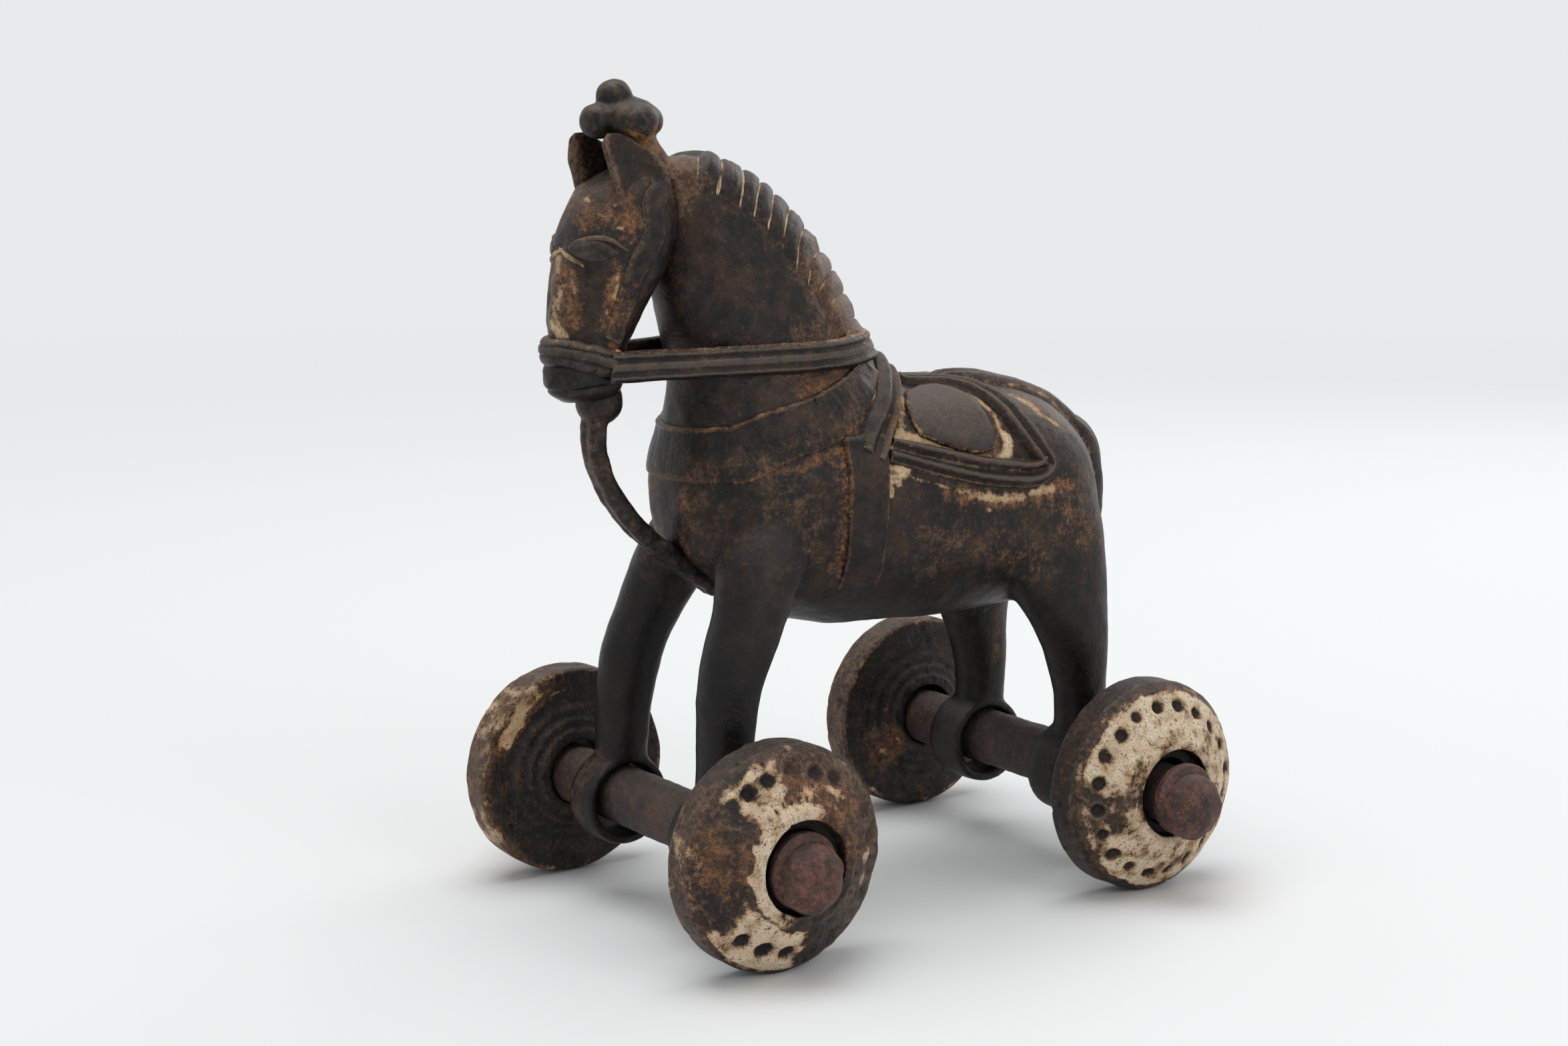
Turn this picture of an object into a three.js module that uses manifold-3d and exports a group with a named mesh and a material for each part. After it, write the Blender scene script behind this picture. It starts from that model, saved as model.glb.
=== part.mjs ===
// Bronze horse on four wheels, a cast folk toy with a pull cord's loop under its chin.
// Millimetres. The horse faces -Y, its left side is +X, and the floor is z = 0.

import * as THREE from 'three';
import { mergeVertices } from 'three/addons/utils/BufferGeometryUtils.js';
import Module from 'manifold-3d';

const wasm = await Module();
wasm.setup();

// Clearances
const seatGap = 0.25;             // between a piece and what it rests on
const castGap = 0.3;              // between the casting and the strips fitted to it
const endFloat = 4.1;             // side play of an axle between its two heads

// Wheels: cast discs with a coned outer hub and a stepped inner boss
const wheelRadius = 23;           // to the middle of a tread facet
const wheelSides = 24;
const treadWidth = 7.9;
const treadEdge = 0.8;            // bevel of the tread's edges
const outerHubReach = 7.4;        // hub face past the rim
const innerBossReach = 2.9;
const boreRadius = 7.2;
const mouthRadius = 9.3;          // recess that takes the axle's head
const mouthDepth = 3;
const collarWidth = 2.2;          // flat ring round the mouth
const collarStep = 0.7;
const faceRise = 1.1;             // height of the coned face at the rim
const bossSteps = 3;
const bossStepWidth = 2.3;
const dimpleCount = 20;
const dimpleRingRadius = 17.6;
const dimpleRadius = 1.5;
const dimpleDepth = 1;
const wheelbase = 95.7;
const track = 81.7;               // between the wheels' middle planes

// Axles: forged rods, headed over at both ends
const axleRadius = 6.3;
const headRadius = 8;
const headLength = 9;
const headDome = 2.6;
const axleSides = 20;

// Legs end in round eyes that the axles pass through
const eyeBoreRadius = 7.4;
const eyeWall = 2.6;
const frontEyeLength = 9.5;
const rearEyeLength = 11.5;
const frontEyeSpacing = 39;       // between the middles of a left and a right eye
const rearEyeSpacing = 35;
const horseShift = 1.5;           // the horse has slid to its left along the axles
const eyeHeight = 21.5;           // in the casting's own frame
const legHalfWidth = 6;           // half the width of a leg's shank

// Trunk
const backHeight = 108;
const bellyHeight = 57.5;
const trunkHalfWidth = 22.5;
const chestReach = 47.7;          // ahead of the middle of the wheelbase
const rumpReach = 63;             // behind it

// Neck and head, their reaches also ahead of the middle of the wheelbase
const neckRootDepth = 20;         // foot of the neck's form under the back
const crestRise = 14.3;           // crest over the brow
const neckHalfWidth = 15;
const neckTaper = 0.12;           // the neck is wider at the throat than at the crest
const pollReach = 53.5;           // to the plume's foot
const noseReach = 73.5;
const cheekReach = 45.5;          // to the back of the cheeks
const browHeight = 143;
const muzzleHeight = 110;
const headHalfWidth = 10.4;
const eyeBulgeLength = 10.8;
const eyeBulgeHeight = 5.6;
const eyeBulgeDepth = 5.2;

const earRise = 18.5;             // tips over the brow
const earLength = 15;
const earHalfWidth = 6;
const earThickness = 4;

// Mane: scalloped flutes over the crest
const fluteCount = 11;
const fluteProud = 1.5;
const fluteReach = 1.05;          // radians of the neck's section on each side
const maneStart = 0.41;           // shares of the neck's length, from the withers to the poll
const maneEnd = 0.94;

// Raised harness
const collarBandWidth = 11.2;
const collarProud = 1.3;
const withersStrapWidth = 7.6;
const withersProud = 1.7;
const flapWidth = 10.6;
const flapProud = 1.3;
const saddleBandWidth = 5.4;
const saddleBandProud = 1.8;
const saddleArchWidth = 6.6;
const saddleArchProud = 2.5;
const seatProud = 1.1;
const crupperWidth = 6.4;
const crupperProud = 1.5;
const nosebandWidth = 5.6;
const nosebandProud = 1.8;
const bridleWidth = 4.6;
const bridleProud = 0.9;

// Rein round the neck, its ends against the noseband
const reinHeight = 6.2;
const reinThickness = 2;
const reinDrop = 0.788;           // its level, as a share of the way from the brow to the muzzle
const reinTilt = 0.015;           // radians, the muzzle's end lies lower
const reinRise = 0.6;             // the back of the loop over its sides
const reinLean = 0.45;            // slope of the strip behind the neck
const reinMouthGap = 13;          // between the two ends, inside
const reinTurnReach = 24;         // where it starts to turn behind the neck
const reinSeat = 1.5;             // how far the inside is let into the back of the neck

// Pull loop from the chin to the chest
const strapWidth = 6.6;
const strapThickness = 4.2;
const strapKnobRadius = 4.8;

// Plume on the poll
const plumeRise = 29.2;           // its top over the brow
const plumeLean = 3.5;
const plumeStemRadius = 4.8;
const plumeStemHeight = 12;
const topLobeStep = 4.2;          // middle of the top lobe over the side lobes
const lobeRadius = 3.2;
const lobeReach = 6;
const topLobeRadius = 3.5;

// Derived places
const rimFace = treadWidth / 2;
const hubFace = rimFace + outerHubReach;
const axleHeight = wheelRadius - boreRadius + axleRadius + seatGap;
const eyeRestHeight = axleHeight + axleRadius + seatGap - eyeBoreRadius;
const headInner = track / 2 + hubFace - mouthDepth + endFloat / 2;
const axleHalfLength = headInner + headLength;
const axleShift = endFloat / 2 - castGap;
const eyeRadius = eyeBoreRadius + eyeWall;
const legHeight = backHeight - eyeHeight;
const neckRoot = backHeight - neckRootDepth;
const crestHeight = browHeight + crestRise;
const reinLevel = browHeight - reinDrop * (browHeight - muzzleHeight);

// Places in the side view, as shares of the sizes above: y and z
function onTrunk([along, up]) {
  return [
    -chestReach + along * (chestReach + rumpReach),
    bellyHeight + up * (backHeight - bellyHeight),
  ];
}

function onNeck([forward, up]) {
  return [-forward * pollReach, neckRoot + up * (crestHeight - neckRoot)];
}

function onHead([inward, down]) {
  return [
    -noseReach + inward * (noseReach - cheekReach),
    browHeight - down * (browHeight - muzzleHeight),
  ];
}

// Rib stations in shares: two edge places and a half width
function ribStations(rows, place, halfWidth) {
  return rows.map(([a, b, c, d, wide]) => [...place([a, b]), ...place([c, d]), wide * halfWidth]);
}

// A solid for joining and cutting, made from any closed geometry
function toSolid(geometry) {
  const bare = geometry.clone();
  bare.deleteAttribute('normal');
  bare.deleteAttribute('uv');
  const merged = mergeVertices(bare, 1e-4);
  const mesh = new wasm.Mesh({
    numProp: 3,
    vertProperties: new Float32Array(merged.attributes.position.array),
    triVerts: new Uint32Array(merged.index.array),
  });
  return new wasm.Manifold(mesh);
}

function toGeometry(solid) {
  const { vertProperties, triVerts } = solid.getMesh();
  const geometry = new THREE.BufferGeometry();
  geometry.setAttribute('position', new THREE.BufferAttribute(new Float32Array(vertProperties), 3));
  geometry.setIndex(new THREE.BufferAttribute(new Uint32Array(triVerts), 1));
  geometry.computeVertexNormals();
  return geometry;
}

function joinAll(solids) {
  return solids.reduce((sum, solid) => sum.add(solid));
}

// Closed skin over rings of equally many points, capped at both ends
function skin(rings) {
  const sides = rings[0].length;
  const points = rings.flat();
  const index = [];
  for (let r = 0; r < rings.length - 1; r += 1) {
    for (let s = 0; s < sides; s += 1) {
      const a = r * sides + s;
      const b = r * sides + (s + 1) % sides;
      index.push(a, b, b + sides, a, b + sides, a + sides);
    }
  }
  for (const end of [0, rings.length - 1]) {
    const middle = new THREE.Vector3();
    rings[end].forEach((point) => middle.addScaledVector(point, 1 / sides));
    const hub = points.push(middle) - 1;
    for (let s = 0; s < sides; s += 1) {
      const a = end * sides + s;
      const b = end * sides + (s + 1) % sides;
      index.push(...(end === 0 ? [hub, b, a] : [hub, a, b]));
    }
  }
  const volume = index.reduce((sum, _, i) => {
    if (i % 3) return sum;
    const [a, b, c] = [points[index[i]], points[index[i + 1]], points[index[i + 2]]];
    return sum + a.dot(new THREE.Vector3().crossVectors(b, c)) / 6;
  }, 0);
  if (volume < 0) index.reverse();
  const geometry = new THREE.BufferGeometry().setFromPoints(points);
  geometry.setIndex(index);
  return toSolid(geometry);
}

// One rounded section: a superellipse about a middle point, wider or narrower towards its u end
function section(middle, u, v, { sides, power = 2, taper = 0 }) {
  const bend = (value) => Math.sign(value) * Math.abs(value) ** (2 / power);
  return Array.from({ length: sides }, (_, s) => {
    const angle = 2 * Math.PI * (s + 0.5) / sides;
    const along = bend(Math.cos(angle));
    const across = bend(Math.sin(angle)) * (1 + taper * along);
    return middle.clone().addScaledVector(u, along).addScaledVector(v, across);
  });
}

// Numbers part of the way along a list of stations, by a spline through each column
function stationAt(stations, share) {
  return stations[0].map((_, column) => {
    const curve = new THREE.SplineCurve(stations.map((row, i) => new THREE.Vector2(i, row[column])));
    return curve.getPoint(share).y;
  });
}

function smoothStations(stations, steps) {
  return Array.from({ length: steps + 1 }, (_, i) => stationAt(stations, i / steps));
}

// Form over ribs in the mid-plane: y and z of one edge, y and z of the other, half width
function ribForm(stations, { steps, grow = 0, ...shape }) {
  const rows = smoothStations(stations, steps);
  const rings = rows.map(([ay, az, by, bz, halfWidth], i) => {
    const u = new THREE.Vector3(0, ay - by, az - bz).multiplyScalar(0.5);
    const middle = new THREE.Vector3(0, (ay + by) / 2, (az + bz) / 2);
    if (i === 0 || i === steps) {
      const next = rows[i === 0 ? 1 : steps - 1];
      const inward = new THREE.Vector3(0, (next[0] + next[2]) / 2, (next[1] + next[3]) / 2).sub(middle);
      middle.addScaledVector(inward.normalize(), -grow);
    }
    u.setLength(u.length() + grow);
    return section(middle, u, new THREE.Vector3(halfWidth + grow, 0, 0), shape);
  });
  return skin(rings);
}

// Limb over level sections: x, y and z of the middle, half width, half depth
function limbForm(stations, { steps, side, ...shape }) {
  const rings = smoothStations(stations, steps).map(([x, y, z, halfWidth, halfDepth]) => section(
    new THREE.Vector3(side * x, y, z),
    new THREE.Vector3(0, halfDepth, 0),
    new THREE.Vector3(halfWidth, 0, 0),
    shape,
  ));
  return skin(rings);
}

// Turned form about an axis along X, from radii and places along the axis
function turnedX(profile, sides) {
  const acrossFlats = 1 / Math.cos(Math.PI / sides);
  const points = profile.map(([radius, along]) => new THREE.Vector2(radius * acrossFlats, along));
  const lathe = new THREE.LatheGeometry(points, sides, Math.PI / sides);
  return toSolid(lathe.rotateZ(-Math.PI / 2));
}

function rodX(radius, length, sides) {
  return turnedX([[0, -length / 2], [radius, -length / 2], [radius, length / 2], [0, length / 2]], sides);
}

// The trunk, neck and head, each able to grow evenly for raised bands and fitted strips
function trunkForm(grow = 0) {
  const stations = ribStations([
    [0, 0.683, 0, 0.515, 0.156],
    [0.014, 0.842, 0.014, 0.396, 0.422],
    [0.054, 0.98, 0.063, 0.277, 0.667],
    [0.151, 1.04, 0.151, 0.139, 0.867],
    [0.304, 1.04, 0.304, 0.03, 0.978],
    [0.485, 1.01, 0.485, 0, 1],
    [0.666, 1, 0.666, -0.01, 1],
    [0.819, 0.941, 0.819, 0.02, 0.969],
    [0.91, 0.822, 0.905, 0.059, 0.822],
    [0.973, 0.673, 0.973, 0.129, 0.556],
    [1, 0.505, 1, 0.257, 0.244],
  ], onTrunk, trunkHalfWidth);
  return ribForm(stations, { steps: 16, sides: 20, power: 2.15, grow });
}

function neckStations() {
  return ribStations([
    [0.785, 0, -0.299, 0.159, 1.267],
    [0.86, 0.173, -0.163, 0.303, 1.233],
    [0.847, 0.346, -0.015, 0.411, 1],
    [0.88, 0.476, 0.075, 0.527, 0.9],
    [0.925, 0.613, 0.176, 0.658, 0.813],
    [0.944, 0.75, 0.31, 0.795, 0.747],
    [0.981, 0.856, 0.479, 0.902, 0.667],
    [0.981, 0.935, 0.682, 0.981, 0.567],
    [0.935, 0.978, 0.813, 1, 0.333],
  ], onNeck, neckHalfWidth);
}

function neckForm(grow = 0) {
  return ribForm(neckStations(), { steps: 16, sides: 16, power: 2.1, taper: neckTaper, grow });
}

function headForm(grow = 0) {
  const stations = ribStations([
    [0.554, -0.379, 0.839, -0.394, 0.423],
    [0.25, -0.227, 0.964, -0.258, 0.856],
    [0.1, 0, 0.965, 0, 1],
    [0.036, 0.242, 0.85, 0.258, 0.923],
    [0, 0.485, 0.67, 0.515, 0.769],
    [0, 0.712, 0.548, 0.727, 0.692],
    [-0.046, 0.848, 0.536, 0.894, 0.654],
    [-0.029, 0.955, 0.464, 0.985, 0.558],
    [0.089, 1.018, 0.321, 1.018, 0.327],
  ], onHead, headHalfWidth);
  return ribForm(stations, { steps: 12, sides: 16, power: 2.2, grow });
}

// Leg from its eye up into the trunk
// Rows: shares of the leg's height inward, back and up, then shares of its half width for width and depth
function legForm(rows, spacing, end, options) {
  const stations = rows.map(([inward, back, up, wide, deep]) => [
    spacing / 2 - inward * legHeight,
    end * wheelbase / 2 + back * legHeight,
    eyeHeight + up * legHeight,
    wide * legHalfWidth,
    deep * legHalfWidth,
  ]);
  return limbForm(stations, { steps: 9, sides: 12, ...options });
}

function frontLeg(side) {
  return legForm([
    [0, 0.005, 0.023, 0.833, 1.067],
    [0, 0.012, 0.139, 0.95, 0.967],
    [0.002, 0.027, 0.289, 1.05, 1.067],
    [0.009, 0.053, 0.405, 1.133, 1.233],
    [0.03, 0.116, 0.532, 1.233, 1.467],
    [0.062, 0.173, 0.659, 1.267, 1.833],
    [0.104, 0.22, 0.775, 1, 1.5],
  ], frontEyeSpacing, -1, { side });
}

function rearLeg(side) {
  return legForm([
    [0, 0, 0.023, 0.833, 1.033],
    [0, 0.014, 0.139, 0.833, 0.967],
    [0, 0.009, 0.231, 0.9, 1.1],
    [0.002, -0.016, 0.358, 1.033, 1.5],
    [0.016, -0.051, 0.474, 1.2, 2.083],
    [0.042, -0.069, 0.601, 1.333, 2.667],
    [0.069, -0.069, 0.717, 1.333, 2.667],
  ], rearEyeSpacing, 1, { power: 2.3, side });
}

function legEye(side, end) {
  const spacing = end < 0 ? frontEyeSpacing : rearEyeSpacing;
  const length = end < 0 ? frontEyeLength : rearEyeLength;
  return rodX(eyeRadius, length, axleSides).translate([side * spacing / 2, end * wheelbase / 2, eyeHeight]);
}

function eyeBores() {
  return joinAll([-1, 1].map((end) => (
    rodX(eyeBoreRadius, track, axleSides).translate([0, end * wheelbase / 2, eyeHeight])
  )));
}

// Plate of a side-view outline, right through the horse
function sidePlate(points, halfWidth = trunkHalfWidth * 2) {
  const shape = new THREE.Shape(points);
  const plate = new THREE.ExtrudeGeometry(shape, { depth: 2 * halfWidth, bevelEnabled: false });
  plate.translate(0, 0, -halfWidth);
  const sideView = new THREE.Matrix4().makeBasis(
    new THREE.Vector3(0, 1, 0),
    new THREE.Vector3(0, 0, 1),
    new THREE.Vector3(1, 0, 0),
  );
  return toSolid(plate.applyMatrix4(sideView));
}

// Outline of a strip of even width along a smooth side-view path
function stripOutline(path, width, steps = 6) {
  const curve = new THREE.SplineCurve(path.map(([y, z]) => new THREE.Vector2(y, z)));
  const edge = (offset) => Array.from({ length: steps + 1 }, (_, i) => {
    const along = curve.getTangent(i / steps);
    return curve.getPoint(i / steps).add(new THREE.Vector2(-along.y, along.x).multiplyScalar(offset));
  });
  return [...edge(-width / 2), ...edge(width / 2).reverse()];
}

function corners(points) {
  return points.map(([y, z]) => new THREE.Vector2(y, z));
}

// Raised harness: the body grown by the band's height, kept only inside the band's outline
function harness() {
  const chest = (proud) => trunkForm(proud).add(neckForm(proud));
  const band = (path, place, width) => sidePlate(stripOutline(path.map(place), width));
  const collar = [
    [-0.048, 0.774], [0.033, 0.788], [0.097, 0.814], [0.178, 0.869], [0.259, 0.937], [0.35, 1.036],
  ];
  const withers = [[0.499, 1.178], [0.458, 1.079], [0.424, 0.996], [0.391, 0.917], [0.35, 0.802]];
  const flap = [[0.322, 0.168], [0.322, 0.822]];
  const seat = [
    [0.449, 0.901], [0.467, 1.158], [0.63, 1.158], [0.657, 0.921], [0.702, 0.743],
    [0.711, 0.683], [0.557, 0.693], [0.449, 0.743], [0.404, 0.802],
  ];
  const lowerBand = [
    [0.386, 0.758], [0.472, 0.689], [0.548, 0.653], [0.63, 0.638], [0.711, 0.628], [0.765, 0.616],
  ];
  const arch = [
    [0.648, 1.119], [0.666, 1.02], [0.687, 0.901], [0.711, 0.782], [0.743, 0.671], [0.77, 0.588],
  ];
  const crupper = [[0.467, 0.129], [1.154, 0.129], [1.154, 1.337], [0.467, 1.337]];
  const noseband = [[-0.375, 0.697], [0.196, 0.764], [0.839, 0.818]];
  const bridle = [
    [0.661, -0.242], [0.604, -0.045], [0.561, 0.152], [0.482, 0.348], [0.411, 0.576], [0.389, 0.758],
  ];
  return joinAll([
    chest(collarProud).intersect(band(collar, onTrunk, collarBandWidth)),
    chest(withersProud).intersect(band(withers, onTrunk, withersStrapWidth)),
    trunkForm(flapProud).intersect(band(flap, onTrunk, flapWidth)),
    trunkForm(seatProud).intersect(sidePlate(corners(seat.map(onTrunk)))),
    trunkForm(saddleBandProud).intersect(band(lowerBand, onTrunk, saddleBandWidth)),
    trunkForm(saddleArchProud).intersect(band(arch, onTrunk, saddleArchWidth)),
    trunkForm(crupperProud).intersect(sidePlate(corners(crupper.map(onTrunk)), crupperWidth / 2)),
    headForm(nosebandProud).intersect(band(noseband, onHead, nosebandWidth)),
    headForm(bridleProud).intersect(band(bridle, onHead, bridleWidth)),
  ]);
}

// Mane: one skin over the crest and down both sides of the neck, with a rounded hump for each flute
function mane() {
  const stepsPerFlute = 4;
  const spans = 6;
  const sweep = 0.035;            // the flutes' lower ends lie further down the neck
  const rings = [];
  for (let i = 0; i <= fluteCount * stepsPerFlute; i += 1) {
    const place = maneStart + (maneEnd - maneStart) * i / (fluteCount * stepsPerFlute);
    const hump = fluteProud * Math.abs(Math.sin(Math.PI * i / stepsPerFlute));
    const ring = Array.from({ length: spans + 1 }, (_, s) => {
      const swing = fluteReach * (2 * s / spans - 1);
      const proud = s === 0 || s === spans ? -castGap : hump;
      return cresting(place - sweep * swing * swing, swing, proud);
    });
    ring.push(cresting(place, 0, -neckHalfWidth / 2));
    rings.push(ring);
  }
  return skin(rings);
}

// Point over the neck's crest, swung round its section and standing proud of it
function cresting(place, swing, proud) {
  const [ay, az, by, bz, halfWidth] = stationAt(neckStations(), place);
  const middle = new THREE.Vector3(0, (ay + by) / 2, (az + bz) / 2);
  const toCrest = new THREE.Vector3(0, by - ay, bz - az);
  toCrest.setLength((toCrest.length() / 2 + proud) * Math.cos(swing));
  const across = (halfWidth + proud) * Math.sin(swing) * (1 - neckTaper * Math.cos(swing));
  return middle.add(toCrest).setX(across);
}

function ellipsoid(x, y, z, halfX, halfY, halfZ, turn = 0) {
  const ball = new THREE.SphereGeometry(1, 8, 5).rotateX(Math.PI / 2).scale(halfX, halfY, halfZ);
  return toSolid(ball.rotateZ(turn).translate(x, y, z));
}

// Leaf-shaped ear, hollowed on its outer side
// Rows: shares of the sizes outward, forward and down, then of the half thickness and half width
function ear(side) {
  const top = browHeight + earRise;
  const thin = earThickness / 2;
  const leaf = limbForm([
    [0.577, 0.267, 1, 1, 0.767],
    [0.635, 0.273, 0.733, 1, 0.933],
    [0.673, 0.32, 0.467, 1, 1],
    [0.673, 0.433, 0.253, 0.9, 0.817],
    [0.654, 0.58, 0.093, 0.6, 0.467],
    [0.654, 0.673, 0, 0.2, 0.133],
  ].map(([outward, forward, down, thick, wide]) => [
    outward * headHalfWidth,
    -pollReach - forward * earLength,
    top - down * earLength,
    thick * thin,
    wide * earHalfWidth,
  ]), { steps: 6, sides: 8, side });
  const hollow = ellipsoid(
    side * (0.673 * headHalfWidth + thin),
    -pollReach - 0.353 * earLength,
    top - 0.507 * earLength,
    1.1 * thin,
    0.7 * earHalfWidth,
    0.373 * earLength,
  );
  return leaf.subtract(hollow);
}

// Eye bulging from the cheek, with a brow ridge over it
function face(side) {
  const turn = -side * 0.75;
  const [eyeY, eyeZ] = onHead([0.239, 0.121]);
  const [browY, browZ] = onHead([0.268, 0.018]);
  const [deep, long, tall] = [eyeBulgeDepth / 2, eyeBulgeLength / 2, eyeBulgeHeight / 2];
  const eye = ellipsoid(side * 0.712 * headHalfWidth, eyeY, eyeZ, deep, long, tall, turn);
  const brow = ellipsoid(side * 0.635 * headHalfWidth, browY, browZ, 1.15 * deep, long, 0.46 * tall, turn);
  return eye.add(brow);
}

function horseCasting() {
  const parts = [trunkForm(), neckForm(), headForm(), mane()];
  for (const side of [-1, 1]) {
    parts.push(frontLeg(side), legEye(side, -1), rearLeg(side), legEye(side, 1));
    parts.push(ear(side), face(side));
  }
  parts.push(harness().subtract(reinLoop(castGap)));
  return joinAll(parts).subtract(eyeBores());
}

// Back of the neck at one level
function neckBackAt(level) {
  const edge = neckStations().map(([, , y, z]) => [y, z]);
  const above = edge.findIndex(([, z]) => z > level);
  const [[lowY, lowZ], [highY, highZ]] = [edge[above - 1], edge[above]];
  return lowY + (highY - lowY) * (level - lowZ) / (highZ - lowZ);
}

// The rein's whole loop in plan: straight from the muzzle to the neck's sides, then round behind the neck
function reinLoop(grow = 0) {
  const side = neckHalfWidth + castGap;
  const straightEnd = -reinTurnReach;
  const turnDepth = neckBackAt(reinLevel) - reinSeat - straightEnd;
  const mouth = onHead([0.482, 0])[0];
  const loop = (offset) => {
    const points = [new THREE.Vector2(-reinMouthGap / 2 - offset, mouth)];
    const turns = 12;
    for (let i = 0; i <= turns; i += 1) {
      const angle = Math.PI * (1 - i / turns);
      points.push(new THREE.Vector2(
        (side + offset) * Math.cos(angle),
        straightEnd + (turnDepth + offset) * Math.sin(angle),
      ));
    }
    points.push(new THREE.Vector2(reinMouthGap / 2 + offset, mouth));
    return points;
  };
  const outline = [...loop(reinThickness + grow), ...loop(-grow).reverse()];
  const height = reinHeight + 2 * grow;
  const strip = new THREE.ExtrudeGeometry(new THREE.Shape(outline), { depth: height, bevelEnabled: false });
  strip.translate(0, -straightEnd, -height / 2);
  const place = strip.attributes.position;
  for (let i = 0; i < place.count; i += 1) {
    const [y, z] = [place.getY(i), place.getZ(i)];
    const share = Math.max(0, y / turnDepth);
    place.setY(i, y - reinLean * z * share);
    place.setZ(i, z + reinRise * share ** 2);
  }
  strip.rotateX(reinTilt);
  return toSolid(strip.translate(0, straightEnd, reinLevel));
}

function reinBand() {
  return reinLoop()
    .subtract(neckForm(castGap))
    .subtract(headForm(nosebandProud + castGap));
}

// The loop hangs from the chin and curves back into the chest
function chinStrap() {
  const [chinY, chinZ] = onHead([0.346, 1.076]);
  const [chestY, chestZ] = onTrunk([0.106, 0.218]);
  const path = new THREE.CatmullRomCurve3([
    [0, 0], [-0.029, 0.167], [0.05, 0.372], [0.223, 0.562], [0.46, 0.721], [0.712, 0.854], [1, 1],
  ].map(([back, down]) => new THREE.Vector3(
    0,
    chinY + back * (chestY - chinY),
    chinZ + down * (chestZ - chinZ),
  )));
  const steps = 11;
  const rings = Array.from({ length: steps + 1 }, (_, i) => {
    const along = path.getTangentAt(i / steps);
    const out = new THREE.Vector3(0, -along.z, along.y).multiplyScalar(strapThickness / 2);
    const across = new THREE.Vector3(strapWidth / 2, 0, 0);
    return section(path.getPointAt(i / steps), out, across, { sides: 8 });
  });
  const [knobY, knobZ] = onHead([0.368, 1.03]);
  const knob = ellipsoid(0, knobY, knobZ, strapKnobRadius * 0.9, strapKnobRadius, strapKnobRadius);
  return skin(rings).add(knob)
    .subtract(headForm(castGap))
    .subtract(trunkForm(castGap));
}

function plumeFinial() {
  const topMiddle = browHeight + plumeRise - topLobeRadius;
  const lobesHeight = topMiddle - topLobeStep;
  const stem = skin([[0, 1.25], [0.35, 1.05], [0.7, 0.85], [1, 0.95]].map(([share, spread]) => section(
    new THREE.Vector3(0, -pollReach - plumeLean * share, lobesHeight - plumeStemHeight * (1 - share)),
    new THREE.Vector3(0, plumeStemRadius * spread, 0),
    new THREE.Vector3(plumeStemRadius * spread, 0, 0),
    { sides: 8 },
  )));
  const middle = -pollReach - plumeLean;
  const lobes = [[1, 0], [-1, 0], [0, 1], [0, -1]].map(([x, y]) => (
    ellipsoid(x * lobeReach, middle + y * lobeReach, lobesHeight, lobeRadius, lobeRadius, lobeRadius)
  ));
  const heart = ellipsoid(0, middle, lobesHeight, lobeReach * 0.8, lobeReach * 0.8, lobeRadius);
  const top = ellipsoid(0, middle - plumeLean * 0.4, topMiddle, topLobeRadius, topLobeRadius, topLobeRadius);
  return joinAll([stem, heart, top, ...lobes])
    .subtract(headForm(castGap))
    .subtract(neckForm(castGap));
}

// Wheel with its outer side towards +X
function wheelSolid() {
  const collar = mouthRadius + collarWidth;
  const bossRadius = boreRadius + bossSteps * bossStepWidth;
  const stepReach = innerBossReach / bossSteps;
  const profile = [
    [boreRadius, -rimFace - innerBossReach],
    [boreRadius, hubFace - mouthDepth],
    [mouthRadius, hubFace - mouthDepth],
    [mouthRadius, hubFace],
    [collar, hubFace],
    [collar + collarStep, hubFace - collarStep],
    [wheelRadius - 2 * treadEdge, rimFace + faceRise],
    [wheelRadius - treadEdge, rimFace],
    [wheelRadius, rimFace - treadEdge],
    [wheelRadius, -rimFace + treadEdge],
    [wheelRadius - treadEdge, -rimFace],
    [bossRadius + bossStepWidth / 2, -rimFace],
  ];
  for (let i = 0; i < bossSteps; i += 1) {
    const radius = bossRadius - i * bossStepWidth;
    profile.push([radius, -rimFace - (i + 1) * stepReach]);
    if (i < bossSteps - 1) profile.push([radius - bossStepWidth * 0.7, -rimFace - (i + 1) * stepReach]);
  }
  profile.push(profile[0]);
  return turnedX(profile.reverse(), wheelSides).subtract(dimples(collar));
}

// Ring of punched dimples, square to the coned face
function dimples(collar) {
  const rise = outerHubReach - collarStep - faceRise;
  const run = wheelRadius - 2 * treadEdge - collar - collarStep;
  const slope = Math.atan2(rise, run);
  const face = rimFace + faceRise + (wheelRadius - 2 * treadEdge - dimpleRingRadius) * Math.tan(slope);
  const above = 1;
  const scale = (dimpleDepth + above) / dimpleDepth;
  const cones = Array.from({ length: dimpleCount }, (_, i) => {
    const cone = new THREE.ConeGeometry(dimpleRadius * scale, dimpleDepth + above, 5);
    cone.translate(0, (dimpleDepth + above) / 2 - above, 0);
    cone.rotateZ(Math.PI / 2 + slope);
    cone.translate(face, dimpleRingRadius, 0);
    cone.rotateX((2 * Math.PI * (i + 0.5)) / dimpleCount);
    return toSolid(cone);
  });
  return joinAll(cones);
}

function axleSolid() {
  const end = axleHalfLength;
  const half = [
    [0, end],
    [headRadius * 0.6, end - headDome * 0.25],
    [headRadius * 0.9, end - headDome],
    [headRadius, end - 2 * headDome],
    [headRadius, headInner],
    [axleRadius, headInner],
  ];
  const mirrored = half.map(([radius, along]) => [radius, -along]).reverse();
  return turnedX([...half, ...mirrored].reverse(), axleSides);
}

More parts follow.
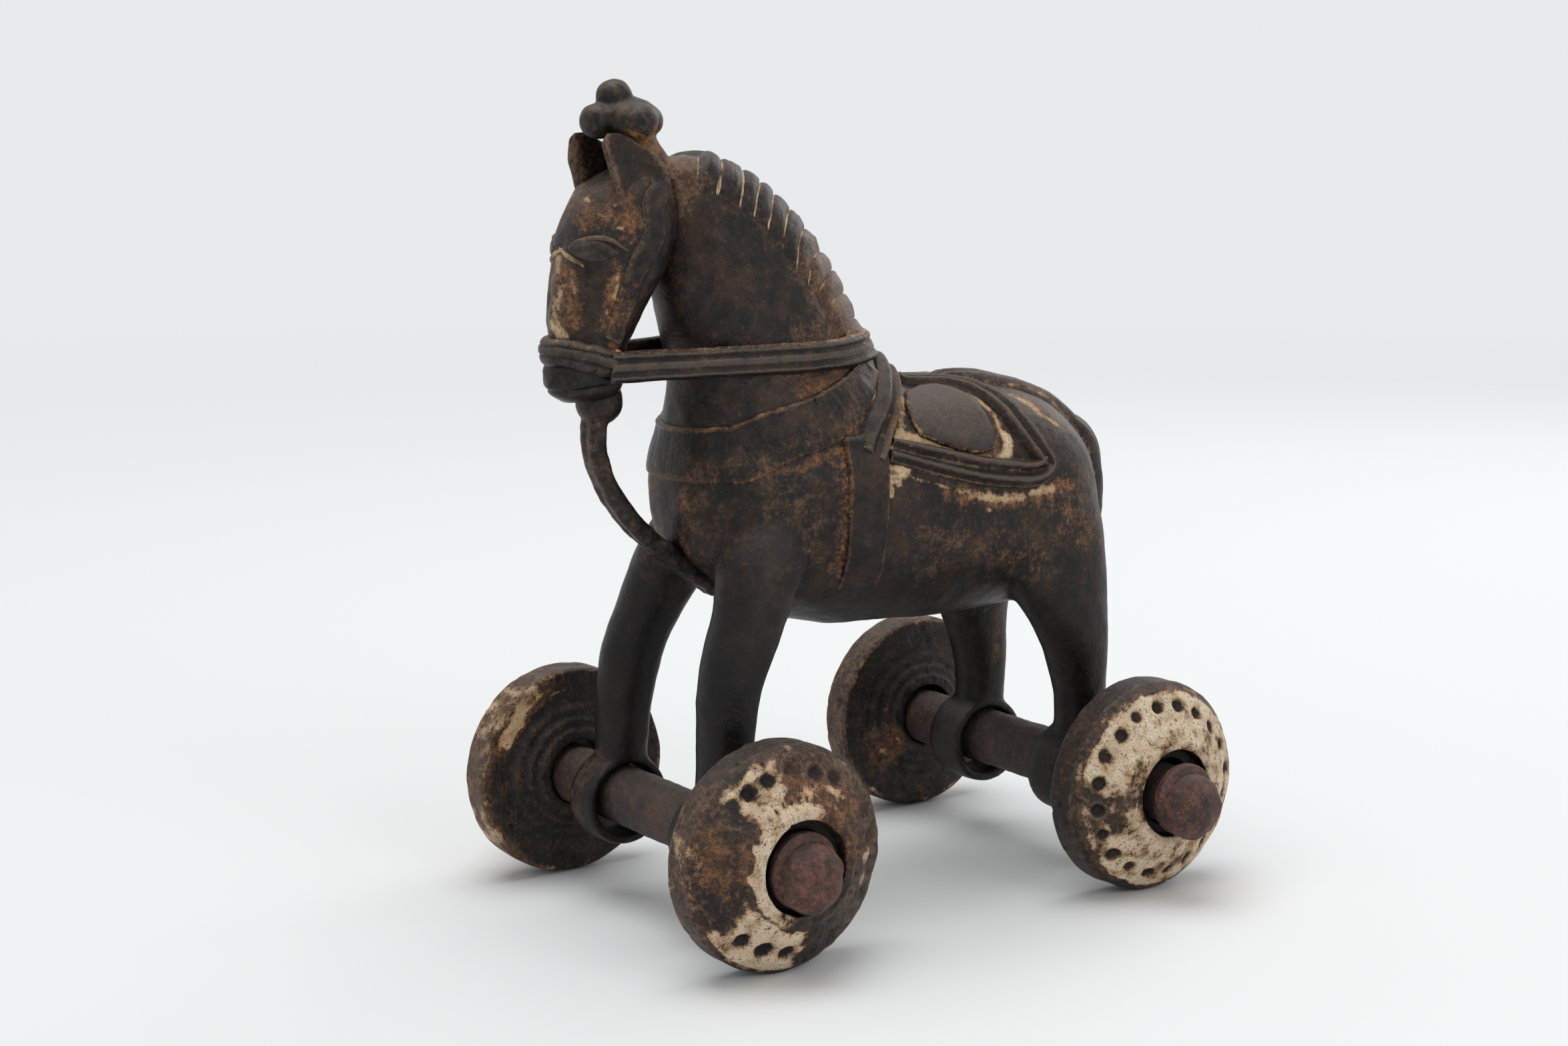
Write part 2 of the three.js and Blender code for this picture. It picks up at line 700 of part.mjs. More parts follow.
const bronze = new THREE.MeshStandardMaterial({ color: 0x2e2724, roughness: 0.5, metalness: 0.8 });
const wheelBronze = new THREE.MeshStandardMaterial({ color: 0x4a382e, roughness: 0.6, metalness: 0.7 });
const iron = new THREE.MeshStandardMaterial({ color: 0x5b4038, roughness: 0.75, metalness: 0.6 });

function piece(name, solid, material) {
  const mesh = new THREE.Mesh(toGeometry(solid), material);
  mesh.name = name;
  return mesh;
}

const toy = new THREE.Group();

const horse = new THREE.Group();
horse.position.set(horseShift, 0, eyeRestHeight - eyeHeight);
horse.add(
  piece('horse_casting', horseCasting(), bronze),
  piece('rein_band', reinBand(), bronze),
  piece('chin_strap', chinStrap(), bronze),
  piece('plume_finial', plumeFinial(), bronze),
);
toy.add(horse);

for (const [end, name] of [[-1, 'front'], [1, 'rear']]) {
  const axle = piece(`${name}_axle`, axleSolid(), iron);
  axle.position.set(end * axleShift, end * wheelbase / 2, axleHeight);
  toy.add(axle);
  for (const [side, hand] of [[1, 'left'], [-1, 'right']]) {
    const wheel = piece(`wheel_${name}_${hand}`, wheelSolid(), wheelBronze);
    wheel.position.set(side * track / 2, end * wheelbase / 2, wheelRadius);
    if (side < 0) wheel.rotation.z = Math.PI;
    toy.add(wheel);
  }
}

// The origin is on the floor, under the middle of the toy's box
toy.updateMatrixWorld(true);
const box = new THREE.Box3().setFromObject(toy, true);
toy.position.y = -(box.min.y + box.max.y) / 2;

export default toy;
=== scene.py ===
# Bronze horse on four wheels: cast forms, raised harness, pale wash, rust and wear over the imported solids.
import bpy
import numpy as np
from mathutils import Matrix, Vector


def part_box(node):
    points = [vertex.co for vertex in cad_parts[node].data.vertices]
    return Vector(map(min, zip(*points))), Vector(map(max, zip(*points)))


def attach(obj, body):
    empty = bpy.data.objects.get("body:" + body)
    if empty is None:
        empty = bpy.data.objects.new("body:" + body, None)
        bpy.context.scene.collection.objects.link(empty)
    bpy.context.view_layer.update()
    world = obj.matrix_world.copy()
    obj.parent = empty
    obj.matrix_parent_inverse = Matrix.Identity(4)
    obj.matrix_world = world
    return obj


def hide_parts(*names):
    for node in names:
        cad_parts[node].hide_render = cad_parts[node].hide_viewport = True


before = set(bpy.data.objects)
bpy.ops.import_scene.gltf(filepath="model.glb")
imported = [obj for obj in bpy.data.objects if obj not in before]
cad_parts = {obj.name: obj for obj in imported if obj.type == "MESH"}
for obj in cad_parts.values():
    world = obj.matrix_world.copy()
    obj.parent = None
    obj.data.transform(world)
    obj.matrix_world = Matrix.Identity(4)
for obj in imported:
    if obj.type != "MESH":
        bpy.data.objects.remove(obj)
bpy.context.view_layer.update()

# Shapes are worked out in millimetres in the casting's own frame, then put in the row frame in metres
mm = 0.001
nodeBox = {name: np.array([list(corner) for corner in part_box(name)]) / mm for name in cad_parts}
castingX = nodeBox["horse_casting"][:, 0].mean()
axleY = [nodeBox[name][:, 1].mean() for name in ("front_axle", "rear_axle")]
castingPlace = np.array([castingX, sum(axleY) / 2, 0.0])
halfWheelbase = (axleY[1] - axleY[0]) / 2

noTriangles = np.zeros((0, 3), int)    # a skin is its points, quads and triangles; most have none of the last


# Shared ways of making surfaces
def circle(count):
    # even angles, once round
    return 2 * np.pi * np.arange(count) / count


def turned(along, radius, turn):
    # places along the axle and radii, turned round it
    return np.stack([along, radius * np.cos(turn), radius * np.sin(turn)], -1)


def spline(stations, count):
    # uniform Catmull-Rom through the rows with both ends repeated, at evenly spaced shares of the list
    rows = np.asarray(stations, float)
    at = np.linspace(0, len(rows) - 1, count)
    i = np.minimum(at.astype(int), len(rows) - 2)
    t = (at - i)[:, None]
    padded = np.vstack([rows[:1], rows, rows[-1:]])
    a, b, c, d = (padded[i + k] for k in range(4))
    return 0.5 * (2 * b + (c - a) * t + (2 * a - 5 * b + 4 * c - d) * t**2 + (3 * b - a - 3 * c + d) * t**3)


def unit(vectors):
    # each row divided by its own length
    return vectors / np.maximum(np.linalg.norm(vectors, axis=-1, keepdims=True), 1e-12)


def roundedRing(sides, power):
    # cosine and sine of even angles, each raised to 2/power with its sign kept: a superellipse
    angle = 2 * np.pi * (np.arange(sides) + 0.5) / sides
    c, s = np.cos(angle), np.sin(angle)
    return np.sign(c) * np.abs(c) ** (2 / power), np.sign(s) * np.abs(s) ** (2 / power)


def ribGrid(stations, count, sides, power, taper=0.0):
    # superellipse ribs square to the mid-plane: y and z of one edge, of the other edge, half width
    ay, az, by, bz, half = (column[:, None] for column in spline(stations, count).T)
    along, across = roundedRing(sides, power)
    x = half * across * (1 + taper * along)
    y = (ay + by) / 2 + (ay - by) / 2 * along
    z = (az + bz) / 2 + (az - bz) / 2 * along
    return np.stack([x + 0 * y, y, z], -1)


def limbGrid(stations, count, sides, power, side):
    # level superellipse sections: middle x, y, z, half width, half depth
    x, y, z, halfX, halfY = (column[:, None] for column in spline(stations, count).T)
    along, across = roundedRing(sides, power)
    return np.stack([side * x + halfX * across, y + halfY * along, z + 0 * along], -1)


def evenLine(corners, count, turns, closed=False):
    # a polyline cut into steps of even length, then drawn towards the mean of its neighbours
    corners = np.asarray(corners, float)
    if closed:
        corners = np.vstack([corners, corners[:1]])
    lengths = np.concatenate([[0], np.cumsum(np.linalg.norm(np.diff(corners, axis=0), axis=1))])
    at = np.linspace(0, lengths[-1], count, endpoint=not closed)
    line = np.stack([np.interp(at, lengths, column) for column in corners.T], -1)
    for _ in range(turns):
        mean = (np.roll(line, 1, 0) + np.roll(line, -1, 0)) / 2
        moved = 0.5 * line + 0.5 * mean
        if not closed:
            moved[[0, -1]] = line[[0, -1]]
        line = moved
    return line


def wound(points, quads, triangles):
    # the signed volume under all faces says whether they point outwards; if not, each is reversed
    fans = np.concatenate([quads[:, [0, 1, 2]], quads[:, [0, 2, 3]], triangles])
    a, b, c = (points[fans[:, k]] for k in range(3))
    if np.einsum("ij,ij->", a, np.cross(b, c)) < 0:
        quads, triangles = quads[:, ::-1], triangles[:, ::-1]
    return points, quads, triangles


def closedTube(grid):
    # rings joined in turn, each end closed by a fan to the ring's mean point
    rows, sides = grid.shape[:2]
    index = np.arange(rows * sides).reshape(rows, sides)
    nextSide = np.roll(index, -1, 1)
    quads = np.stack([index[:-1], nextSide[:-1], nextSide[1:], index[1:]], -1).reshape(-1, 4)
    first, last = rows * sides, rows * sides + 1
    caps = np.concatenate([
        np.stack([np.full(sides, first), nextSide[0], index[0]], -1),
        np.stack([np.full(sides, last), index[-1], nextSide[-1]], -1)])
    points = np.vstack([grid.reshape(-1, 3), grid[0].mean(0), grid[-1].mean(0)])
    return wound(points, quads, caps)


def closedRing(grid):
    # a grid that runs round both ways, as on a turned ring
    rows, sides = grid.shape[:2]
    index = np.arange(rows * sides).reshape(rows, sides)
    nextSide, nextRow = np.roll(index, -1, 1), np.roll(index, -1, 0)
    quads = np.stack([index, nextSide, np.roll(nextRow, -1, 1), nextRow], -1).reshape(-1, 4)
    return wound(grid.reshape(-1, 3), quads, noTriangles)


def slab(top, under):
    # two open grids of one size, joined all round their edges
    rows, columns = top.shape[:2]
    upper = np.arange(rows * columns).reshape(rows, columns)
    lower = upper + rows * columns
    cells = [np.stack([grid[:-1, :-1], grid[:-1, 1:], grid[1:, 1:], grid[1:, :-1]], -1).reshape(-1, 4)
             for grid in (upper, lower)]
    rim = np.concatenate([upper[0], upper[1:, -1], upper[-1, -2::-1], upper[-2:0:-1, 0]])
    foot = rim + rows * columns
    wall = np.stack([rim, foot, np.roll(foot, -1), np.roll(rim, -1)], -1)
    quads = np.concatenate([cells[0], cells[1][:, ::-1], wall])
    return wound(np.vstack([top.reshape(-1, 3), under.reshape(-1, 3)]), quads, noTriangles)


def together(*skins):
    # several closed skins in one list of points and faces
    points, quads, triangles, start = [], [], [], 0
    for p, q, t in skins:
        points.append(p)
        quads.append(q + start)
        triangles.append(t + start)
        start += len(p)
    return np.vstack(points), np.vstack(quads), np.vstack(triangles)


def meshOf(name, skin):
    # points, quads and triangles put into a mesh in one go
    points, quads, triangles = skin
    mesh = bpy.data.meshes.new(name)
    corners = np.concatenate([quads.ravel(), triangles.ravel()]).astype(np.int32)
    sizes = np.concatenate([np.full(len(quads), 4), np.full(len(triangles), 3)])
    mesh.vertices.add(len(points))
    mesh.vertices.foreach_set("co", np.asarray(points, np.float32).ravel())
    mesh.loops.add(len(corners))
    mesh.loops.foreach_set("vertex_index", corners)
    mesh.polygons.add(len(sizes))
    mesh.polygons.foreach_set("loop_start", np.concatenate([[0], np.cumsum(sizes)[:-1]]).astype(np.int32))
    mesh.polygons.foreach_set("use_smooth", np.ones(len(sizes), bool))
    mesh.update(calc_edges=True)
    return mesh


def read(items, label, width, kind=np.float32):
    # one value list of a mesh as an array
    values = np.empty(len(items) * width, kind)
    items.foreach_get(label, values)
    return values.reshape(-1, width)


def placed(name, data):
    # a new object in the scene that shows the mesh, lamp or camera
    thing = bpy.data.objects.new(name, data)
    bpy.context.scene.collection.objects.link(thing)
    return thing


def evaluated(name, mesh, addModifier):
    # the mesh as one modifier leaves it
    thing = placed(name, mesh)
    addModifier(thing)
    made = thing.evaluated_get(bpy.context.evaluated_depsgraph_get()).to_mesh()
    found = (read(made.vertices, "co", 3).astype(float), read(made.loops, "vertex_index", 1, np.int32),
             read(made.edges, "vertices", 2, np.int32))
    bpy.data.objects.remove(thing)
    return found


def recast(skin, voxel):
    # overlapping closed skins become one even quad skin, by a voxel remesh in millimetres
    def remesh(thing):
        # cells of one size, with no flat faces joined
        modifier = thing.modifiers.new("remesh", "REMESH")
        modifier.mode, modifier.voxel_size, modifier.adaptivity = "VOXEL", voxel, 0
    points, corners, edges = evaluated("recast", meshOf("recast", skin), remesh)
    return points, corners.reshape(-1, 4), edges


def smoothed(points, edges, turns, share):
    # each point moves a share of the way to the mean of its neighbours, turn after turn
    size = len(points)
    count = np.maximum(np.bincount(edges.ravel(), minlength=size), 1)[:, None]
    for _ in range(turns):
        total = np.stack([
            np.bincount(edges[:, 0], points[edges[:, 1], k], size)
            + np.bincount(edges[:, 1], points[edges[:, 0], k], size) for k in range(3)], 1)
        points = points + share * (total / count - points)
    return points


def skinNormals(points, quads):
    # each face's crossed diagonals, added up at its corners
    across = np.cross(points[quads[:, 2]] - points[quads[:, 0]], points[quads[:, 3]] - points[quads[:, 1]])
    total = np.zeros_like(points)
    for corner in range(4):
        for axis in range(3):
            total[:, axis] += np.bincount(quads[:, corner], across[:, axis], len(points))
    return unit(total)


def gridNormals(grid):
    # differences along both parameters, crossed; the second one runs round
    alongRows = np.gradient(grid, axis=0)
    alongSides = np.roll(grid, -1, 1) - np.roll(grid, 1, 1)
    return unit(np.cross(alongRows, alongSides))


latticeSide = 32
farCorner = 100    # added so that no place is negative


def waves(points, size, seed):
    # random lattice values eased from corner to corner, between -1 and 1
    lattice = np.random.default_rng(seed).uniform(-1, 1, (latticeSide,) * 3)
    place = np.asarray(points) / size + farCorner
    cell = np.floor(place).astype(int)
    t = place - cell
    t = t * t * (3 - 2 * t)
    total = 0
    for corner in range(8):
        step = np.array([corner & 1, corner >> 1 & 1, corner >> 2 & 1])
        weight = np.prod(np.where(step, t, 1 - t), -1)
        at = (cell + step) % latticeSide
        total = total + weight * lattice[at[..., 0], at[..., 1], at[..., 2]]
    return total


def eased(value, low, high):
    # 0 below low, 1 above high, smooth between
    t = np.clip((value - low) / (high - low), 0, 1)
    return t * t * (3 - 2 * t)


def bell(value, middle, width):
    # 1 at the middle, falling off as a bell
    return np.exp(-((value - middle) / width) ** 2)


strokeEdge = {"coarse": 3.0, "fine": 1.2, "fineShare": 0.5, "wander": 0.5, "mostWander": 0.9, "margin": 2.6}


def strokes(points, marks):
    # the strongest of many soft strokes: a bell of the distance from a path over a reach, with a wandering edge
    edge, mask = strokeEdge, np.zeros(len(points))
    warp = np.stack([
        waves(points, edge["coarse"], 301 + k) + edge["fineShare"] * waves(points, edge["fine"], 311 + k)
        for k in range(3)], -1)
    for path, reach, strength in marks:
        path = np.asarray(path, float)
        middle, half = (path.max(0) + path.min(0)) / 2, np.ptp(path, axis=0) / 2 + edge["margin"] * reach
        near = np.flatnonzero((np.abs(points - middle) < half).all(1))
        at = points[near] + min(edge["wander"] * reach, edge["mostWander"]) * warp[near]
        distance = np.full(len(near), np.inf)
        for start, end in zip(path[:-1], path[1:]):
            run = end - start
            share = np.clip((at - start) @ run / max(run @ run, 1e-9), 0, 1)
            distance = np.minimum(distance, np.linalg.norm(at - start - share[:, None] * run, axis=1))
        mask[near] = np.maximum(mask[near], strength * np.exp(-(distance / reach) ** 2))
    return mask


def otherSide(marks, share=0.85):
    # the same strokes on the right side of the horse, a little weaker
    return [([(-x, y, z) for x, y, z in path], reach, strength * share) for path, reach, strength in marks]


hollowReach = 0.9    # how far round a point its hollow is judged
hollowUnit = 0.12    # the depth that counts as 1


def addPiece(name, skin, material, body, marks, place=castingPlace, stands=(), dustAndSheenShare=1.0):
    # the finished piece in metres; its stains, its dust and painted sheen on upward faces, its hollows and
    # added painted shade are kept as values at its points; a hollow is the height of the smoothed skin over the
    # point
    points, quads, triangles = skin
    mesh = meshOf(name, ((points + place) * mm, quads, triangles))
    edges, normals = read(mesh.edges, "vertices", 2, np.int32), read(mesh.vertex_normals, "vector", 3)
    spacing = np.linalg.norm(points[edges[:, 0]] - points[edges[:, 1]], axis=1).mean()
    softer = smoothed(points, edges, int(np.clip((hollowReach / spacing) ** 2, 4, 40)), 0.5)
    hollow = np.einsum("ij,ij->i", softer - points, normals) / hollowUnit
    # upward faces are lightened: real dust and painted sheen
    layers = {"wash": 0, "rust": 0, "tan": 0, "dust": dustAndSheenShare * eased(normals[:, 2], 0.2, 0.95), "hollow": hollow}
    for label, value in marks.items():
        value = np.asarray(value, float).ravel()
        layers[label] = layers[label] + np.pad(value, (0, len(points) - len(value)))
    for label, value in layers.items():
        layer = mesh.attributes.new(label, "FLOAT", "POINT")
        layer.data.foreach_set("value", (np.clip(value, -2, 2) + np.zeros(len(points))).astype(np.float32))
    mesh.materials.append(material)
    thing = placed(name, mesh)
    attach(thing, body)
    if stands:
        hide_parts(*stands)


def addCast(name, skin, marks, stands=()):
    # a piece of the horse's own bronze
    addPiece(name, skin, castBronze, "horse", marks, stands=stands)


def overTop(*values):
    # values on the upper grid of a slab, with zeros for the grid under it
    return np.concatenate([np.concatenate([np.ravel(value), np.zeros(np.size(value))]) for value in values])


def withCaps(value):
    # values on a tube's rings, with zeros for its two end points
    return np.pad(np.ravel(value), (0, 2))


bumpDepth = 0.0005


def patina(name, look):
    # mottled metal, browner over broad patches; tan, rust and pale wash lie where a point's value plus noise
    # passes a level; tops are paler with dust and painted sheen, hollows and painted shade darker, edges paler
    material = bpy.data.materials.new(name)
    material.use_nodes = True
    nodes, links = material.node_tree.nodes, material.node_tree.links
    shader = nodes["Principled BSDF"]
    place = nodes.new("ShaderNodeTexCoord").outputs["Object"]

    def noise(scale, detail, seedShift):
        # layered noise of the object's own place, moved aside by the shift
        shift = nodes.new("ShaderNodeMapping")
        shift.inputs["Location"].default_value = (seedShift, seedShift * 0.7, seedShift * 1.3)
        links.new(place, shift.inputs["Vector"])
        texture = nodes.new("ShaderNodeTexNoise")
        texture.inputs["Scale"].default_value = scale
        texture.inputs["Detail"].default_value = detail
        texture.inputs["Roughness"].default_value = 0.6
        links.new(shift.outputs["Vector"], texture.inputs["Vector"])
        return texture.outputs["Fac"]

    def maths(operation, a, b):
        # one sum; each side is a number or another node's value
        node = nodes.new("ShaderNodeMath")
        node.operation = operation
        for socket, value in zip(node.inputs, (a, b)):
            if isinstance(value, (int, float)):
                socket.default_value = value
            else:
                links.new(value, socket)
        return node.outputs[0]

    def times(first, *others):
        # the product of several values
        for other in others:
            first = maths("MULTIPLY", first, other)
        return first

    def mixed(*parts):
        # a weighted sum of several values
        total = maths("MULTIPLY", *parts[0])
        for part in parts[1:]:
            total = maths("ADD", total, maths("MULTIPLY", *part))
        return total

    def between(value, low, high, toLow=0.0, toHigh=1.0):
        # toLow up to the low level, toHigh from the high one on, smooth between
        node = nodes.new("ShaderNodeMapRange")
        node.interpolation_type = "SMOOTHSTEP"
        for socket, level in zip(list(node.inputs)[1:5], (low, high, toLow, toHigh)):
            socket.default_value = level
        links.new(value, node.inputs[0])
        return node.outputs[0]

    def blend(share, first, second):
        # the first colour where the share is 0, the second where it is 1
        node = nodes.new("ShaderNodeMix")
        node.data_type = "RGBA"
        links.new(share, node.inputs[0])
        for socket, value in ((node.inputs[6], first), (node.inputs[7], second)):
            if isinstance(value, tuple):
                socket.default_value = (*value, 1)
            else:
                links.new(value, socket)
        return node.outputs[2]

    def layer(label):
        # a value kept at the mesh's points
        node = nodes.new("ShaderNodeAttribute")
        node.attribute_name = label
        return node.outputs["Fac"]

    broad, middling = noise(62, 3, 0.1), noise(270, 4, 0.5)
    fine, grain = noise(1000, 4, 0.9), noise(3000, 2, 1.7)
    mottle = mixed((middling, 0.4), (fine, 0.35), (grain, 0.25))
    speckle = mixed((fine, 0.5), (grain, 0.5))
    broken = between(speckle, 0.36, 0.6, 0.5)
    colour = blend(between(mottle, 0.4, 0.62), look["dark"], look["mid"])
    warmShare = between(mixed((broad, 0.5), (middling, 0.5), (layer("tan"), 0.1)), 0.42, 0.68)
    colour = blend(times(warmShare, broken, look["warmth"]), colour, look["warm"])
    # the dust colour over upward faces: real dust and painted sheen
    colour = blend(times(layer("dust"), broken, look["dustAndSheenCover"]), colour, look["dust"])
    jitter = mixed((middling, 0.75), (fine, 0.8), (grain, 0.4))
    tanShare = between(mixed((layer("tan"), 0.75), (jitter, 1.0)), 1.08, 1.75)
    tanTone = blend(between(mottle, 0.4, 0.62), look["rustDark"], look["tan"])
    colour = blend(times(tanShare, broken, look["tanCover"]), colour, tanTone)
    colour = blend(times(between(speckle, 0.595, 0.67), look["specks"]), colour, look["speck"])
    edge = between(mixed((layer("hollow"), -0.5), (fine, 0.6)), 0.4, 1.0)
    colour = blend(times(edge, look["edgeCover"]), colour, look["edge"])
    rustShare = times(between(mixed((layer("rust"), 1.0), (jitter, 1.0)), 1.2, 1.8), broken, look["rustCover"])
    colour = blend(rustShare, colour, blend(between(mottle, 0.44, 0.64), look["rustDark"], look["rustPale"]))
    low, soft = look["washLevel"], look["washEdge"]
    amount = mixed((layer("wash"), 1.0), (jitter, 1.0))
    washShare = times(between(amount, low, low + soft), look["washCover"])
    pale = blend(between(amount, low + 0.3 * soft, low + 2.2 * soft), look["washDeep"], look["washPale"])
    pale = blend(times(between(middling, 0.5, 0.62), 0.7), pale, look["washRose"])
    pale = blend(times(between(mottle, 0.5, 0.38), 0.75), pale, look["washDeep"])
    pale = blend(between(layer("rust"), 0.6, 1.15, 0.0, 0.8), pale, look["washRusty"])
    pale = blend(times(between(speckle, 0.53, 0.62), look["washSpecks"]), pale, look["rustDark"])
    colour = blend(washShare, colour, pale)
    # darker where the hollow value is high: in the skin's hollows, and where painted shade was added to it
    colour = blend(times(between(layer("hollow"), 0.25, 1.6), look["sootAndShadeCover"]), colour, look["sootAndShade"])
    links.new(colour, shader.inputs["Base Color"])
    covered = maths("MAXIMUM", washShare, rustShare)
    rough = mixed((fine, 0.2), (grain, 0.1), (covered, 0.28), (layer("dust"), 0.06))
    links.new(maths("ADD", rough, look["roughness"] - 0.15), shader.inputs["Roughness"])
    links.new(times(maths("SUBTRACT", 1, covered), look["metal"]), shader.inputs["Metallic"])
    shader.inputs["Specular IOR Level"].default_value = look["gloss"]
    pits = nodes.new("ShaderNodeTexVoronoi")
    pits.inputs["Scale"].default_value = look["pitScale"]
    links.new(place, pits.inputs["Vector"])
    pitted = times(between(pits.outputs["Distance"], 0.05, 0.3), between(broad, 0.4, 0.6, 0.2, 0.7))
    relief = mixed((fine, 0.9), (grain, 0.4), (pitted, 0.5), (washShare, 0.3), (middling, 0.5))
    bump = nodes.new("ShaderNodeBump")
    bump.inputs["Strength"].default_value = look["bump"]
    bump.inputs["Distance"].default_value = bumpDepth
    links.new(relief, bump.inputs["Height"])
    links.new(bump.outputs["Normal"], shader.inputs["Normal"])
    return material


# Colours are linear; a cover is the most that a layer hides, and a level is where the wash begins
horseLook = {
    "dark": (0.006, 0.0046, 0.0041), "mid": (0.021, 0.0148, 0.012), "warm": (0.05, 0.0265, 0.0155),
    "warmth": 0.85, "dust": (0.09, 0.07, 0.057), "dustAndSheenCover": 0.62, "tan": (0.19, 0.112, 0.062),
    "tanCover": 0.85, "specks": 0.35, "speck": (0.15, 0.105, 0.075), "edge": (0.1, 0.076, 0.06),
    "edgeCover": 0.75,
    "rustDark": (0.07, 0.027, 0.012), "rustPale": (0.3, 0.135, 0.045), "rustCover": 0.9,
    "washPale": (0.7, 0.56, 0.36), "washDeep": (0.3, 0.17, 0.075), "washRose": (0.5, 0.34, 0.2),
    "washRusty": (0.42, 0.2, 0.07), "washLevel": 1.36, "washEdge": 0.26, "washCover": 0.95, "washSpecks": 0.7,
    "sootAndShade": (0.005, 0.004, 0.004), "sootAndShadeCover": 0.75, "roughness": 0.43, "metal": 0.5, "gloss": 0.45,
    "pitScale": 700.0, "bump": 0.4}
wheelLook = {
    **horseLook, "dark": (0.011, 0.008, 0.0065), "mid": (0.04, 0.0275, 0.02), "warm": (0.075, 0.04, 0.023),
    "specks": 0.7, "speck": (0.2, 0.14, 0.09), "edge": (0.15, 0.115, 0.09), "washPale": (0.8, 0.69, 0.5),
    "washRose": (0.68, 0.48, 0.34), "washRusty": (0.7, 0.38, 0.15),
    "washDeep": (0.38, 0.22, 0.1), "washSpecks": 0.85, "rustDark": (0.06, 0.026, 0.014),
    "rustPale": (0.27, 0.12, 0.05), "roughness": 0.52, "metal": 0.4, "pitScale": 520.0, "bump": 0.85}
axleLook = {
    **horseLook, "dark": (0.017, 0.012, 0.0105), "mid": (0.048, 0.034, 0.028), "warm": (0.09, 0.047, 0.036),
    "specks": 0.6, "speck": (0.2, 0.125, 0.09), "edge": (0.12, 0.085, 0.07), "rustDark": (0.075, 0.03, 0.026),
    "rustPale": (0.23, 0.085, 0.062), "washPale": (0.55, 0.4, 0.27), "washDeep": (0.24, 0.14, 0.09),
    "roughness": 0.58, "metal": 0.3, "pitScale": 420.0, "bump": 0.95}
castBronze = patina("castBronze", horseLook)
wheelBronze = patina("wheelBronze", wheelLook)
forgedIron = patina("forgedIron", axleLook)
print("finishes made")


# The horse's body: trunk, neck, legs and their eyes in one cast skin
trunkSize = {"top": 108, "low": 57.5, "wide": 22.5, "chest": 47.7, "rump": 61.8}
neckSize = {"crest": 157.3, "wide": 15}
neckTaper = 0.12
headSize = {"wide": 10.4, "nose": 73.5, "brow": 143, "muzzle": 110}
# Each loft's steps along and around it, and its section's power: 2 is an oval, more is squarer
loftSteps = {"trunk": (110, 96, 2.15), "neck": (90, 80, 2.1), "frontLeg": (70, 56, 2), "rearLeg": (70, 56, 2.3),
             "head": (200, 150, 2.2)}
bodyFinish = {"voxel": 0.69, "evenTurns": 8, "filletTurns": 34, "filletReach": 13,
              "legTops": [(15, -38, 72), (15, 44, 70)], "neckRoot": 108, "neckRootReach": 8,
              "waveSize": 10, "waveHeight": 0.32, "rippleSize": 3.5, "rippleHeight": 0.14,
              "grainSize": 1.6, "grainHeight": 0.05, "inset": 0.1}


def trunkStations(top, low, wide, chest, rump):
    # from chest to rump: back y, back z, belly y, belly z, half width
    return [
        [-chest, top - 16, -chest, low + 26, wide - 19],
        [-chest + 1.5, top - 8, -chest + 1.5, low + 20, wide - 13],
        [-chest + 6, top - 1, -chest + 7, low + 14, wide - 7.5],
        [-31, top + 2, -31, low + 7, wide - 3],
        [-14, top + 2, -14, low + 1.5, wide - 0.5],
        [6, top + 0.5, 6, low, wide],
        [26, top, 26, low - 0.5, wide],
        [43, top - 3, 43, low + 1, wide - 0.7],
        [rump - 9, top - 9, rump - 9.5, low + 3, wide - 5],
        [rump - 2.6, top - 16.5, rump - 2.6, low + 6.5, wide - 12.6],
        [rump, top - 25, rump, low + 13, wide - 18]]


def neckStations(crest, wide):
    # from shoulder to poll: throat y, throat z, crest y, crest z, half width
    return [
        [-42, 88, 16, 99, wide + 4],
        [-46, 100, 8.7, 109, wide + 3.5],
        [-45.3, 112, 0.8, 116.5, wide],
        [-47.1, 121, -4, 124.5, wide - 1.5],
        [-49.5, 130.5, -9.4, 133.6, wide - 2.8],
        [-50.5, crest - 17.3, -16.6, crest - 14.2, wide - 3.8],
        [-52.5, crest - 10, -25.6, crest - 6.8, wide - 5],
        [-52.5, crest - 4.5, -36.5, crest - 1.3, wide - 6.5],
        [-50, crest - 1.5, -43.5, crest, wide - 10]]


def headStations(wide, nose, brow, muzzle):
    # from poll to lips: front y, front z, back y, back z, half width
    return [
        [-58, brow + 12.5, -50, brow + 13, wide - 6],
        [-nose + 7, brow + 7.5, -46.5, brow + 8.5, wide - 1.5],
        [-nose + 2.8, brow, -46.5, brow, wide],
        [-nose + 1, brow - 8, -49.7, brow - 8.5, wide - 0.8],
        [-nose, brow - 16, -54.7, brow - 17, wide - 2.4],
        [-nose, muzzle + 9.5, -58.2, muzzle + 9, wide - 3.2],
        [-nose - 1.3, muzzle + 5, -58.5, muzzle + 3.5, wide - 3.6],
        [-nose - 0.8, muzzle + 1.5, -60.5, muzzle + 0.5, wide - 4.6],
        [-nose + 2.5, muzzle - 0.6, -64.5, muzzle - 0.6, wide - 7]]


legSize = {
    "eyeHeight": 21.5, "bore": 7.4, "wall": 2.6, "frontSpacing": 39, "rearSpacing": 35,
    "frontLength": 9.5, "rearLength": 11.5}


def frontLegStations(x, y, z):
    # up from the eye: middle x, y, z, half width, half depth
    return [
        [x, y + 0.7, z + 8.2, 5.3, 6],
        [x, y + 1, z + 12, 5.7, 5.8],
        [x - 0.2, y + 2.3, z + 25, 6.3, 6.4],
        [x - 0.8, y + 4.6, z + 35, 6.8, 7.4],
        [x - 2.6, y + 10, z + 46, 7.4, 8.8],
        [x - 5.4, y + 15, z + 57, 7.6, 11],
        [x - 9, y + 19, z + 67, 6, 9]]


